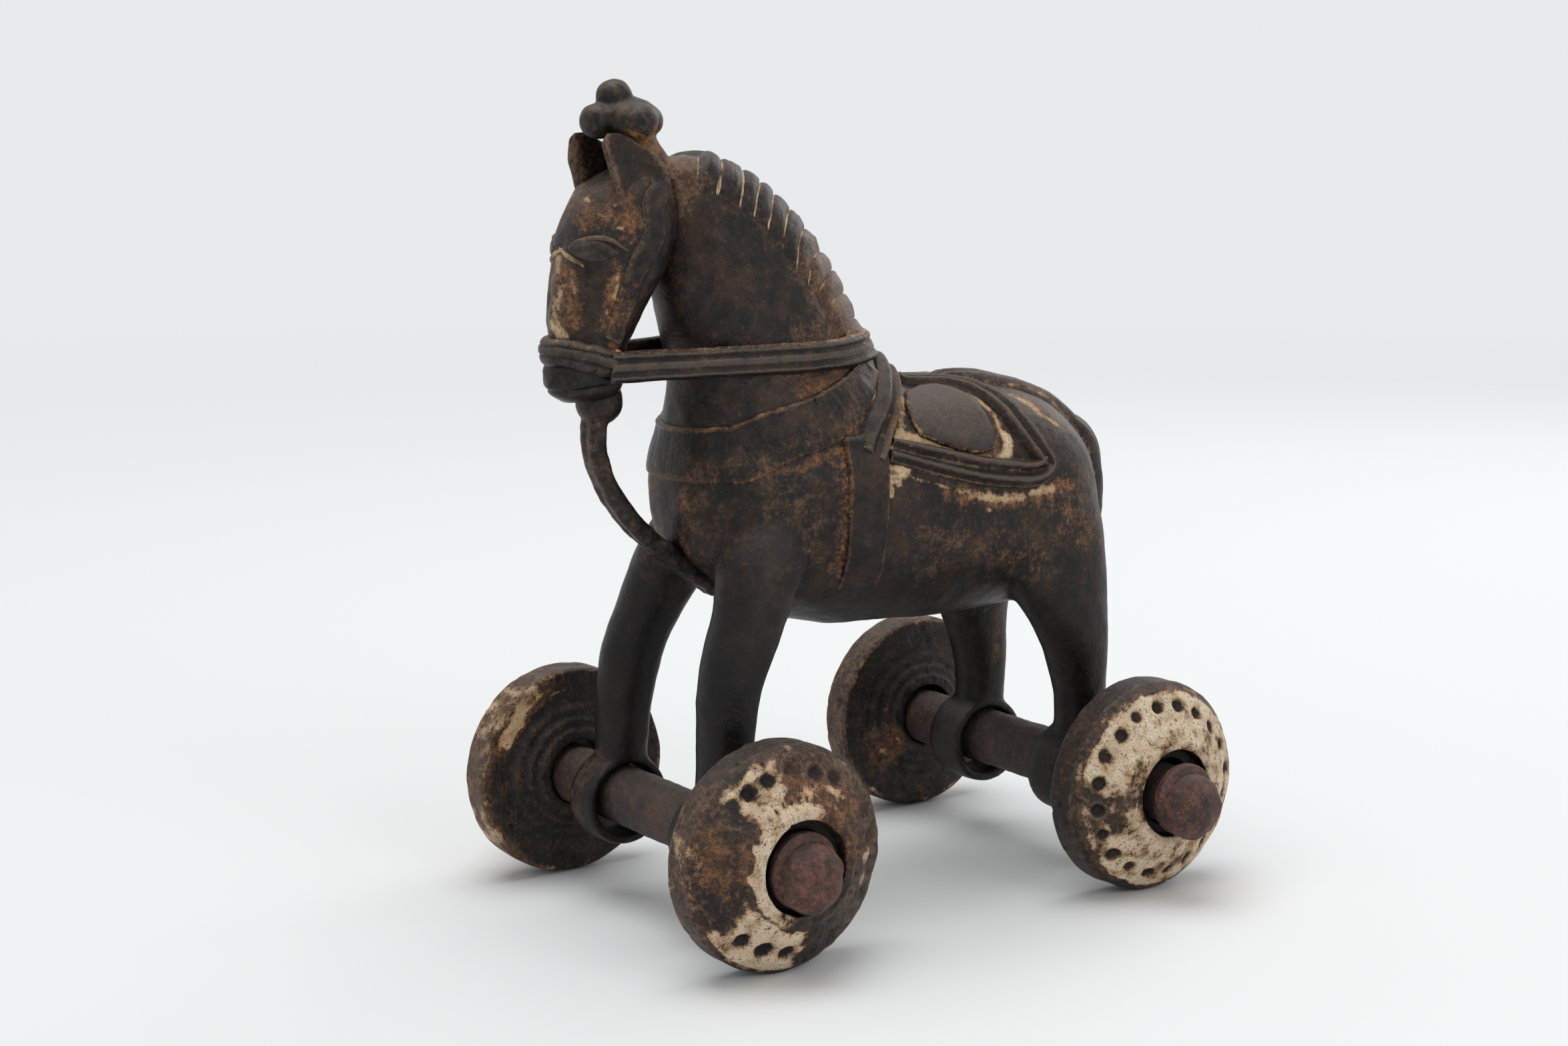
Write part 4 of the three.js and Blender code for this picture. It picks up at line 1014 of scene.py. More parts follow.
addBand("horse_tail", [(harness["tail"], False)], tailProfile,
        lambda u, v, base: {"tan": 1.0 * bell(np.abs(v), 1, 0.12) - 0.5, "dust": -0.3,
                            "wash": 0.55 * bell(np.abs(v), 1, 0.09) * patchy(base)}, along=170, across=60)
addBand("bridle_noseband", acrossMiddle("noseband"), nosebandProfile,
        lambda u, v, base: {
            "wash": 0.58 * bell(v, 0.84, 0.12) * patchy(base, 4, 34) + 0.7 * bell(np.abs(2 * u - 1), 1, 0.08),
            "tan": 0.9 * bell(v, 0.8, 0.2), "rust": 0.8 * bell(np.abs(2 * u - 1), 0.98, 0.14)},
        along=260, across=40)
addBand("bridle_cheek_strap", bothSides("bridle"),
        faded(ribbed("bridle", [(-0.62, 0.34, 1.0), (0.6, 0.34, 0.8)], 0.6), 0.14),
        lambda u, v, base: {"wash": 0.5 * bell(v, -0.9, 0.08) * patchy(base, 4, 35) * eased(u, 0.6, 0.4),
                            "tan": 0.6 * bell(v, -0.88, 0.14),
                            "rust": 0.35 * patchy(base, 4, 38) * eased(u, 0.5, 0.8)},
        along=170, across=36, evening=5)
addBand("brow_ridge", bothSides("brow"), pillow("brow"),
        lambda u, v, base: {"tan": 1.1, "wash": 0.42 * patchy(base, 3, 36)}, along=90, across=14)
addBand("horse_eye", bothSides("eye"), pillow("eye"),
        lambda u, v, base: {"tan": -0.8, "dust": -0.5}, along=80, across=30)
addBand("eye_corner", bothSides("corner"), pillow("corner"),
        lambda u, v, base: {"tan": 1.2, "wash": 0.6 * patchy(base, 3, 37)}, along=80, across=14)
print("harness laid")


# The seat: a smooth pad inside a drawn outline on each side of the back
seat = {"height": 1.8, "edge": 7.0, "outline": [
    (9.8, 6.6, 108.3), (14.2, 3, 106), (18, 2.1, 103.1), (20, 3, 100.3), (21.2, 7.1, 98.1), (22.1, 11.6, 96.6),
    (22.9, 17, 95.5), (22.2, 21.4, 96.4), (20.5, 22.7, 98.9), (18.1, 22.5, 102.3), (13.8, 21.8, 105.9),
    (9.6, 19.2, 108.2), (6.8, 15.4, 109.2), (7, 10.6, 109.2)]}


def seatSkin(side):
    # rings of the outline shrunk to its middle, raised with a steep edge; the way back runs under the skin
    outline = laid(evenLine(np.array(seat["outline"]) * [side, 1, 1], 240, 6, True))
    share = np.sin(np.linspace(0.02, np.pi / 2, 46))[:, None, None]
    base = laid(outline.mean(0) + (outline - outline.mean(0)) * share)
    base[2:-1] = 0.5 * base[2:-1] + 0.25 * (base[1:-2] + base[3:])
    normals = laid(base, 1.0) - laid(base)
    for _ in range(4):
        normals[1:-1] = (normals[:-2] + normals[2:]) / 2
        normals = (np.roll(normals, 1, 1) + 2 * normals + np.roll(normals, -1, 1)) / 4
    normals = unit(normals)
    height = seat["height"] * np.sqrt(np.clip(1 - share[..., 0] ** seat["edge"], 0, 1))
    height = height + 0.07 * waves(base, 3.5, 45)
    top = base + normals * height[..., None]
    rim = withCaps(overTop(bell(share[..., 0], 0.97, 0.035) + 0 * height))
    return closedTube(np.concatenate([top, (base - 0.7 * normals)[::-1]])), rim


(seatLeft, rimLeft), (seatRight, rimRight) = seatSkin(1), seatSkin(-1)
seatRim = np.concatenate([rimLeft, rimRight])
# the seat's middle gets dust and painted sheen; its rim gets wash and tan
addCast("saddle_seat", together(seatLeft, seatRight),
        {"wash": 0.52 * seatRim, "tan": 1.0 * seatRim, "dust": 0.9 * (1 - seatRim)})
print("seat made")


# The mane: flutes over the crest, each line as crest y, z, then the side's upper place, then its lower end
maneLines = [
    [-39.9, 157.4, 6.5, -43.8, 156.5, 11, -46.7, 149.6], [-34.5, 156, 7.1, -38.7, 155.4, 12.4, -42.2, 147.4],
    [-28.8, 153.9, 6.8, -33.1, 153.7, 13.2, -37.4, 144.3], [-24.7, 151, 8, -29.9, 151, 13.1, -33.5, 142.7],
    [-21.1, 148.9, 8, -26.3, 148.6, 13, -29.8, 140.4], [-16.9, 145.6, 8.7, -22.8, 145.4, 13, -26.3, 135.5],
    [-12.5, 141.8, 9.1, -19, 141.7, 12.7, -22.6, 131.9], [-8.4, 136.7, 9.2, -16.2, 137, 13, -19.8, 129],
    [-5.8, 132.8, 6.8, -11.6, 133, 13.2, -18.4, 127.9], [-3.4, 127.6, 9.3, -10.8, 128.4, 13, -15.4, 124.2],
    [-0.9, 122.4, 8.8, -7.2, 122.6, 13.2, -12.5, 116.4], [1.8, 116.2, 8.6, -3.2, 116.8, 12.8, -7, 113.3]]
maneSize = {"upper": 0.45, "proud": 1.0, "least": 0.55, "sink": 0.9, "lineWidth": 0.2, "steps": 26, "spans": 90}


def maneSkin():
    # a parabola through each line's three places, laid on the neck and raised by the flutes' humps
    flutes = len(maneLines) - 1
    rows = spline(maneLines, flutes * maneSize["steps"] + 1)
    u = np.linspace(0, flutes, len(rows))[:, None]
    v = np.linspace(-1, 1, maneSize["spans"])
    s = np.abs(v)
    t = maneSize["upper"]
    first, second, third = (s - t) * (s - 1) / t, s * (s - 1) / (t * (t - 1)), s * (s - t) / (1 - t)
    cy, cz, tx, ty, tz, ex, ey, ez = (column[:, None] for column in rows.T)
    flat = np.stack([np.sign(v) * (second * tx + third * ex), first * cy + second * ty + third * ey,
                     first * cz + second * tz + third * ez], -1)
    base = evened(laid(flat), 2)
    normals = bedNormals(base, 4)
    phase = np.abs(np.sin(np.pi * u)) + 0 * s
    narrow = 1 - 0.3 * s**3
    fade = eased(s, 1.0, 0.72)
    hump = np.clip(phase / narrow, 0, 1) ** 0.5 * (1 - 0.45 * s) * fade
    grain = 0.1 * waves(np.stack([u * 6 + 0 * s, s * 1.2 + 0 * u, 0 * u * s], -1), 1.0, 41)
    grain = grain + 0.12 * waves(base, 2.2, 43)
    ends = eased(u, 0.0, 0.5) * eased(u, flutes, flutes - 0.5)
    height = maneSize["least"] * (1 - s**2) * fade + maneSize["proud"] * hump + grain * fade
    height = height * (0.1 + 0.9 * ends) - 0.25 * (1 - fade)
    groove = bell(phase, 0, maneSize["lineWidth"]) * eased(s, 0.06, 0.2) * eased(s, 1.0, 0.8)
    shape = slab(base + normals * height[..., None], base - maneSize["sink"] * normals)
    return shape, base, groove, s + 0 * u, u + 0 * s


maneShape, maneBase, maneGroove, maneLower, maneAlong = maneSkin()
maneMarks = {
    "wash": maneGroove * (1.05 + 0.75 * waves(maneBase, 2.6, 42)) * (1 - 0.45 * eased(maneAlong, 6, 9)),
    "tan": 0.4 * maneGroove + 0.9 * eased(maneAlong, 5, 7.5)
    + 0.5 * eased(maneAlong, 1.0, 0.4) * eased(maneLower, 0.4, 0.9),
    "rust": 0.42 * bell(maneLower, 0.9, 0.12) * patchy(maneBase, 3, 44) + 0.35 * eased(maneAlong, 6, 9),
    "dust": -0.35 + 0 * maneLower}
addCast("horse_mane", maneShape, {label: overTop(value) for label, value in maneMarks.items()})


# The ears: leaves hollowed on their outer sides
earSize = {"top": 161.5, "thin": 2.0, "hollow": 2.3}


def earSkin(side):
    # level oval sections up the leaf, with the outer half pushed in by a hollow that fades to the rim
    top, thin = earSize["top"], earSize["thin"]
    stations = [
        [6.8, -57.4, top - 16, thin, 4.8], [7.6, -57.3, top - 12, thin, 6.0], [7.6, -58.1, top - 8, thin, 6.5],
        [7.2, -59.7, top - 4.2, thin * 0.9, 5.7], [6.6, -61.9, top - 1.5, thin * 0.65, 3.7],
        [6.2, -63.3, top, thin * 0.25, 1.3]]
    x, y, z, halfX, halfY = (column[:, None] for column in spline(stations, 90).T)
    along, across = roundedRing(90, 2.2)
    u = np.linspace(0, 1, 90)[:, None]
    fade = np.sin(np.pi * np.clip(u * 1.02, 0, 1)) ** 0.7
    dish = earSize["hollow"] * fade * np.clip(across, 0, 1) ** 0.8 * np.clip(1 - np.abs(along) ** 2.6, 0, 1)
    grid = np.stack([side * (x + halfX * across - dish * halfX / thin), y + halfY * along, z + 0 * along], -1)
    grid = grid + 0.16 * waves(grid, 3, 51)[..., None]
    rim = bell(np.abs(along), 0.9, 0.16) + 0 * u
    return closedTube(grid), rim, dish


for side, label in ((1, "left"), (-1, "right")):
    skin, rim, dish = earSkin(side)
    root = eased(skin[0][:, 2], earSize["top"] - 9, earSize["top"] - 14)
    inside = np.clip(dish / 2, 0, 1)
    # extra dust and painted sheen lighten each ear all over
    addCast(f"horse_ear_{label}", skin,
            {"wash": withCaps(0.2 * rim), "rust": 0.9 * root, "dust": 1.6,
             "tan": withCaps(0.45 + 0.4 * rim - 0.6 * inside), "hollow": withCaps(-0.35 * rim - 0.2 * inside)})
print("mane and ears made")


# The rein: a ribbed strip from the muzzle round behind the neck
rein = {"height": 6.2, "thickness": 2.2, "level": 117, "tilt": 0.015, "rise": 0.6, "lean": 0.45, "mouth": 7.0,
        "back": -1.0, "turnStart": -24, "mouthY": -65, "side": 15.3}


def reinLoop(count=520, around=48):
    # a plan path from the muzzle round behind the neck; the section is a tall rounded bar, ribbed outside
    arc, start, depth = np.pi * (1 - np.linspace(0, 1, 61)), rein["turnStart"], rein["back"] - rein["turnStart"]
    plan = np.stack([rein["side"] * np.cos(arc), start + depth * np.sin(arc)], -1)
    plan = np.vstack([[-rein["mouth"], rein["mouthY"]], plan, [rein["mouth"], rein["mouthY"]]])
    plan = evenLine(plan, count, 24)
    ahead = unit(np.gradient(plan, axis=0))
    outward = np.stack([-ahead[:, 1], ahead[:, 0]], -1)
    thick, tall = roundedRing(around, 3.2)
    rib = 0.7 * (ridges(tall, [-0.7, 0.0, 0.7], 0.22) - 0.55) * np.clip(thick, 0, 1) ** 0.5
    off = rein["thickness"] / 2 * (1 + thick) + rib - 0.15
    h = rein["height"] / 2 * tall
    x = plan[:, 0:1] + outward[:, 0:1] * off
    y = plan[:, 1:2] + outward[:, 1:2] * off
    beyond = np.clip((y - start) / depth, 0, None)
    z = rein["level"] + h + rein["rise"] * beyond**2 + rein["tilt"] * (y - start)
    y = y - rein["lean"] * h * beyond
    grid = np.stack([x, y, z], -1)
    grid = grid + 0.12 * waves(grid, 5, 61)[..., None] + 0.06 * waves(grid, 1.8, 62)[..., None]
    groove = np.clip(ridges(tall, [-0.34, 0.34], 0.12), 0, 1) * (thick > 0)
    # the grooves' mask, and the top edge's mask that carries a painted highlight
    return grid, groove + 0 * x, bell(tall, 0.95, 0.2) + 0 * x


reinGrid, reinGroove, reinTopHighlight = reinLoop()
reinBehind = eased(reinGrid[..., 1], -22, -6)
# the top edge gets wash and tan as a painted highlight, stronger behind the neck
addCast("harness_rein", closedTube(reinGrid),
        {"wash": (0.3 + 0.3 * reinBehind) * reinGroove + (0.4 + 0.2 * reinBehind) * reinTopHighlight,
         "tan": 0.7 * reinTopHighlight + 0.7 * reinGroove * reinBehind, "rust": 0.3 * reinGroove,
         "dust": -0.5 + 0 * reinTopHighlight},
        ["rein_band"])

# The pull loop: a bar from a knob under the chin to the chest
loop = {"width": 6.6, "thickness": 4.2, "knob": (0, -63.2, 109.0), "knobRadius": 4.8,
        "path": [[-63.8, 107.5], [-64.6, 101], [-62.4, 93], [-57.6, 85.6], [-51, 79.4], [-44, 74.2],
                 [-36, 68.5]]}    # y and z


def loopGrid(count=170, around=60):
    # an oval bar carried down the loop, with a shallow channel along its outer face
    line = spline(loop["path"], count)
    ahead = unit(np.gradient(line, axis=0))
    out = np.stack([ahead[:, 1], -ahead[:, 0]], -1)
    if out[0, 0] > 0:
        out = -out
    thick, wide = roundedRing(around, 2.6)
    channel = 0.55 * bell(wide, 0, 0.32) * np.clip(thick, 0, 1)
    depth = loop["thickness"] / 2 * thick - channel
    half = loop["width"] / 2 * (1 - 0.12 * np.sin(np.pi * np.linspace(0, 1, count)))[:, None]
    grid = np.stack([half * wide, line[:, 0:1] + out[:, 0:1] * depth, line[:, 1:2] + out[:, 1:2] * depth], -1)
    return grid + 0.16 * waves(grid, 4, 71)[..., None]


def ball(middle, half, rows=40, sides=60):
    # latitude and longitude about a middle point
    up = np.pi * (np.arange(rows) + 0.5)[:, None] / rows
    turn = circle(sides)
    grid = np.stack([np.sin(up) * np.cos(turn), np.sin(up) * np.sin(turn), np.cos(up) + 0 * turn], -1)
    return closedTube(grid * np.array(half) + np.array(middle, float))


def castLump(name, skins, voxel, turns, marks, stands, seed, extra=0.0):
    # overlapping skins run together, smoothed and left a little uneven
    points, quads, edges = recast(together(*skins), voxel)
    points = smoothed(points, edges, turns, 0.5)
    push = 0.18 * waves(points, 3.2, seed) + 0.1 * waves(points, 1.3, seed + 1) + extra
    points = points + skinNormals(points, quads) * push[:, None]
    layers = {label: strokes(points, mark) if isinstance(mark, list) else mark for label, mark in marks.items()}
    addCast(name, (points, quads, noTriangles), layers, stands)


knobHalf = (loop["knobRadius"] - 0.1, loop["knobRadius"], loop["knobRadius"])
castLump("chin_loop", [closedTube(loopGrid()), ball(loop["knob"], knobHalf)], 0.36, 5,
         {"tan": [([(0, -66, 104), (0, -64, 92)], 3.5, 0.4)],
          "rust": [([(1, -66, 103), (1, -66, 100)], 2, 0.4)],
          "wash": [([(-3.6, -66, 112), (-4.2, -66.5, 109), (-3.4, -66, 106)], 0.6, 0.6)], "dust": -0.3},
         ["chin_strap"], 73)

# The plume: a ball on a ring of balls over a stem
plume = {"top": 172.2, "stem": 5.2, "lobe": 3.2, "reach": 6, "topLobe": 3.5, "foot": -51.4, "lean": -5.6}
lobesHeight = plume["top"] - plume["topLobe"] - 4.2
plumeMiddle = plume["foot"] + plume["lean"]


def plumeSkins():
    # a stem that spreads at its foot, four side lobes round a heart and a taller lobe on top
    stem = plume["stem"]
    stations = [[0, plume["foot"] + plume["lean"] * s, lobesHeight - 12 + 12 * s, stem * w, stem * w]
                for s, w in ((0, 1.5), (0.2, 1.2), (0.45, 1.0), (0.7, 0.9), (1, 1.0))]
    reach, low = plume["reach"] - 0.4, lobesHeight - 0.6
    wide, tall, top = plume["lobe"] + 0.7, plume["lobe"] + 0.2, plume["topLobe"]
    skins = [closedTube(limbGrid(stations, 40, 48, 2, 1))]
    skins += [ball((x * reach, plumeMiddle + y * reach, low), (wide, wide, tall))
              for x, y in ((1, 0), (-1, 0), (0, 0.8), (0, -1))]
    skins.append(ball((0, plumeMiddle, lobesHeight), (6.8, 6.8, 4.1)))
    skins.append(ball((0, plumeMiddle + plume["lean"] * 0.4, plume["top"] - top - 0.1), (top, top, top)))
    return skins


# some dust and painted sheen lighten the plume all over
castLump("plume", plumeSkins(), 0.34, 14,
         {"rust": [([(5, -57, 161.6), (5.5, -53, 161), (5, -50, 158), (4, -48, 153)], 3.4, 1.3),
                   ([(4, -50, 161), (0, -47, 155)], 3, 0.9)],
          "tan": [([(0, -60, 171), (0, -58, 166)], 5, 0.3), ([(5, -56, 159), (3, -50, 153)], 4, 0.6)],
          "dust": 0.45},
         ["plume_finial"], 81, 0.12)
print("rein, chin loop and plume made")


# The wheels: turned discs, punched and worn, one cast apart from another
wheel = {"radius": 23, "rim": 3.95, "hub": 11.35, "bore": 7.2, "mouth": 9.2, "mouthDepth": 3.2, "throat": 3.4,
         "collar": 11.5, "step": 0.7, "faceRise": 1.1, "edge": 0.8, "boss": 2.9, "bossSteps": 3,
         "stepWidth": 2.3, "dimples": 20, "dimpleRing": 18.3, "dimpleRadius": 1.65, "dimpleDepth": 1.15,
         "lip": 0.12, "dashes": 46, "dashRing": 13.6, "dashWidth": 0.32, "dashDepth": 0.3,
         "pitDepth": 0.25, "inset": 0.22, "around": 320}
worn = {"wheel_rear_left": {"dimple": 0.85, "dash": 0.5}}    # its dimples are smaller and its dashes fainter
unworn = {"dimple": 1.08, "dash": 1}
# Stains: layer, face, inner and outer radius, middle angle, half its spread, strength; 0 is rearward, 90 up
wheelStains = {
    "wheel_front_left": [
        ("wash", "out", 8.4, 12.7, 158, 90, 0.8), ("wash", "out", 11.4, 21, 118, 17, 0.72),
        ("wash", "out", 13, 22.2, 243, 32, 0.74), ("wash", "out", 13.4, 15, 225, 34, 0.6),
        ("wash", "out", 14.5, 17.5, 350, 24, 0.42), ("wash", "out", 20.6, 22.4, 150, 60, 0.4),
        ("rust", "out", 12.5, 18, 70, 38, 0.85), ("rust", "out", 12.5, 22, 172, 22, 0.6),
        ("rust", "out", 8.5, 12.5, 40, 50, 0.8), ("tan", "out", 12, 22, 66, 40, 0.8),
        ("wash", "out", 12.8, 16.6, 72, 30, 0.5), ("tan", "out", 12, 22, 350, 50, 0.5),
        # the pale marks on the tread's forward part are stain and painted highlight
        ("tan", "out", 12, 23, 205, 80, 0.3), ("wash", "tread", 22, 23.5, 182, 22, 0.35),
        ("tan", "tread", 22, 23.5, 175, 40, 0.6)],
    "wheel_rear_left": [
        ("wash", "out", 8, 21.4, 0, 181, 0.74), ("wash", "out", 13.2, 20.8, 110, 70, 0.85),
        ("rust", "out", 8.4, 12, 225, 50, 0.5), ("tan", "out", 9, 22, 0, 181, 0.6)],
    "wheel_front_right": [
        ("wash", "in", 18.4, 22.2, 124, 13, 0.72), ("wash", "in", 16.8, 20.4, 143, 14, 0.75),
        ("tan", "in", 16.6, 23, 134, 28, 1.2), ("rust", "in", 16.6, 21.6, 134, 30, 0.9),
        # the tan and wash on the inner face's forward rim and on the tread's forward part are stain and painted
        # highlight
        ("wash", "in", 21.4, 23.2, 180, 60, 0.6), ("tan", "in", 20.6, 23.2, 175, 60, 1),
        ("wash", "in", 17.8, 18.6, 100, 5, 0.7), ("wash", "out", 12.4, 20.5, 250, 90, 0.75),
        ("wash", "tread", 22, 23.5, 178, 62, 0.52), ("tan", "tread", 22, 23.5, 175, 75, 1.1)],
    "wheel_rear_right": [
        ("wash", "in", 9.5, 15.5, 208, 10, 0.4), ("rust", "in", 9, 15.5, 210, 16, 0.95),
        ("tan", "in", 8, 17, 210, 24, 0.9), ("wash", "out", 12.4, 20.5, 90, 110, 0.8),
        ("tan", "tread", 22, 23.5, 150, 80, 0.6)]}
# Dimples that are struck deep, by wheel; the others round the ring are faint
deepDimples = {
    "wheel_front_left": [58, 74, 91, 109, 124, 228, 246, 264], "wheel_rear_left": list(range(6, 360, 18)),
    "wheel_front_right": [60, 96, 150, 170, 250, 300], "wheel_rear_right": [20, 110, 130, 200, 280, 330]}


def wheelProfile(samples=200):
    # radius and place along the axle, from the bore's inner end out over the face and back by the inner boss
    w = wheel
    rim, hub = w["rim"], w["hub"]
    inner = w["bore"] - 0.4    # rounding draws these corners out again, and the wall is then held at the bore
    corners = [
        [inner, -rim - w["boss"]], [inner, hub - w["throat"]], [w["mouth"] - 0.2, hub - w["mouthDepth"]],
        [w["mouth"], hub - 0.3], [w["mouth"] + 0.35, hub - 0.02], [w["collar"], hub],
        [w["collar"] + w["step"], hub - w["step"]], [w["radius"] - 2 * w["edge"], rim + w["faceRise"]],
        [w["radius"] - w["edge"], rim], [w["radius"], rim - w["edge"]], [w["radius"], -rim + w["edge"]],
        [w["radius"] - w["edge"], -rim]]
    outer = w["bore"] + w["bossSteps"] * w["stepWidth"]
    corners.append([outer + w["stepWidth"] / 2, -rim])
    for i in range(w["bossSteps"]):
        reach = -rim - (i + 1) * w["boss"] / w["bossSteps"]
        radius = outer - i * w["stepWidth"]
        corners.append([radius, reach])
        if i < w["bossSteps"] - 1:
            corners.append([radius - w["stepWidth"] * 0.7, reach])
    return evenLine(corners, samples, 3, True)


def angleGap(turn, middle, full=360):
    # the way from one angle to another, the short way round; full is one whole turn
    return (turn - middle + full / 2) % full - full / 2


def arcMask(turn, middle, half):
    # 1 within half a spread of degrees about a middle angle, soft over a quarter of it
    return eased(np.abs(angleGap(np.degrees(turn), middle)), half * 1.25 + 2, half * 0.75 - 2)


def wheelSkin(node, side, seed):
    # the profile turned round the axle, then pushed along its normals by dimples, dashes, pits and waves
    draw, wear = np.random.default_rng(seed), worn.get(node, unworn)
    line, turn = wheelProfile(), circle(wheel["around"])
    tangent = unit(np.roll(line, -1, 0) - np.roll(line, 1, 0))
    normal = np.stack([tangent[:, 1], -tangent[:, 0]], -1)
    if normal[line[:, 0].argmax(), 0] < 0:
        normal = -normal
    radius, along = line[:, 0:1] + 0 * turn, line[:, 1:2] + 0 * turn
    outside = (line[:, 1:2] > wheel["rim"] - 0.5) & (line[:, 0:1] > wheel["collar"])
    even = 360 * (np.arange(wheel["dimples"]) + 0.5) / wheel["dimples"] + draw.normal(0, 2, wheel["dimples"])
    deep = np.array(deepDimples[node], float)
    faint = even[np.abs(angleGap(even[:, None], deep)).min(1) > 12]
    spots = np.radians(np.concatenate([deep, faint]))
    depth = np.concatenate([draw.uniform(0.75, 1.15, len(deep)), draw.uniform(0.2, 0.5, len(faint))])
    ring = wheel["dimpleRing"] + draw.normal(0, 0.2, len(spots))
    size = wheel["dimpleRadius"] * draw.uniform(0.85, 1.1, len(spots)) * wear["dimple"]
    gap = angleGap(turn[:, None], spots, 2 * np.pi)
    far = ((gap * ring) ** 2 + ((radius[..., None] - ring) * 1.15) ** 2) / size**2
    hole = (np.exp(-far**1.5) * depth).max(-1) * outside
    lip = (bell(np.sqrt(far), 1.35, 0.25) * depth).max(-1) * outside
    gap = angleGap(turn[:, None], circle(wheel["dashes"]), 2 * np.pi).T
    ringPlaces = np.stack([6 * np.cos(turn), 6 * np.sin(turn), 0 * turn], -1)
    kept = np.clip(0.55 + 0.9 * waves(ringPlaces, 1.0, seed + 9), 0.1, 1)
    struck = bell(gap * wheel["dashRing"], 0, wheel["dashWidth"]).max(0)
    dash = struck * bell(radius, wheel["dashRing"], 0.6) * outside * kept * wear["dash"]
    raw = turned(side * along, radius, turn)
    pit = eased(waves(raw, 1.7, seed + 3), 0.4, 0.8)
    push = 0.2 * waves(raw, 7, seed + 1) + 0.13 * waves(raw, 2.5, seed + 2) - wheel["inset"]
    push = push - wheel["pitDepth"] * pit - wheel["dimpleDepth"] * hole
    push = push + wheel["lip"] * lip - wheel["dashDepth"] * dash
    radius = np.minimum(radius + normal[:, 0:1] * push, wheel["radius"])
    radius = np.where(line[:, 0:1] <= wheel["bore"] + 0.3, np.maximum(radius, wheel["bore"]), radius)
    along = along + normal[:, 1:2] * push
    grid = turned(side * along, radius, turn)
    return closedRing(grid), wheelLayers(node, raw, line, turn, hole, dash, seed)


def wheelLayers(node, raw, line, turn, hole, dash, seed):
    # each listed stain fills its ring and arc on one face; dimples and the bore keep less of it; the bore's
    # mouth, dimples, dashes and plain inner face get painted shade
    r, x = line[:, 0:1], line[:, 1:2]
    faces = {"out": x > wheel["rim"] + 0.2, "in": x < -wheel["rim"] + 0.3, "tread": r > wheel["radius"] - 1}
    mouth = faces["out"] & (r < wheel["mouth"]) | (r < wheel["bore"] + 0.6)
    layers = {"wash": 0 * raw[..., 0], "rust": 0.18 + 0 * raw[..., 0], "tan": 0 * raw[..., 0]}
    around = r + 0.7 * waves(raw, 3.2, seed + 11) + 0.45 * waves(raw, 1.3, seed + 12)
    swung = turn + (1.6 * waves(raw, 4.0, seed + 13) + 0.8 * waves(raw, 1.4, seed + 14)) / r
    for label, face, low, high, middle, half, strength in wheelStains[node]:
        ring = 1
        if face != "tread":
            ring = eased(around, low - 0.7, low + 0.5) * eased(around, high + 0.7, high - 0.5)
        value = strength * ring * arcMask(swung, middle, half) * faces[face]
        layers[label] = np.maximum(layers[label], value)
    edge = bell(np.abs(x), wheel["rim"], 0.8) * (r > wheel["radius"] - 1.6)
    streak = 0.22 * waves(np.stack([r + 0 * turn, 9 * turn + 0 * r, 0 * r * turn], -1), 1.6, seed + 7)
    wash, tan, inHole = np.maximum(layers["wash"], 0.36 * edge), layers["tan"], np.clip(hole, 0, 1)
    wash = (wash + streak * (wash > 0.15)) * (1 - 0.8 * inHole - 0.5 * dash)
    # painted shade: the mouth loses its wash and tan, the plain inner face its tan, and both are darkened with
    # the dimples and dashes
    layers["wash"] = wash * (1 - mouth) - 0.6 * mouth
    tan = tan + 0.25 * edge - 0.7 * mouth - 0.9 * faces["in"] * (tan < 0.1)
    layers["tan"] = tan
    layers["hollow"] = 1.5 * mouth + 0.8 * inHole + 0.35 * dash + 0.35 * faces["in"] * (tan < 0.1)
    # the tread's top is lightened: dust and painted sheen
    layers["dust"] = 0.8 * (r > wheel["radius"] - 1) * eased(raw[..., 2], 12, 22)
    return layers


for node, side, seed in (("wheel_front_left", 1, 101), ("wheel_front_right", -1, 131),
                         ("wheel_rear_left", 1, 161), ("wheel_rear_right", -1, 191)):
    box = nodeBox[node]
    outerX = box[1, 0] if side > 0 else box[0, 0]
    centre = np.array([outerX - side * wheel["hub"], box[:, 1].mean(), wheel["radius"]])
    skin, layers = wheelSkin(node, side, seed)
    addPiece("cast_" + node, skin, wheelBronze, node, layers, centre, [node], dustAndSheenShare=0)
print("wheels turned")


# The axles: hammered rods with burred, domed heads
axle = {"radius": 6.4, "head": 7.35, "flange": 7.7, "headLength": 9, "dome": 5.2, "droop": 1.1,
        "rodDent": 0.14, "headDent": 0.35, "rodPit": 0.09, "headPit": 0.14, "headGive": 0.4, "around": 120}


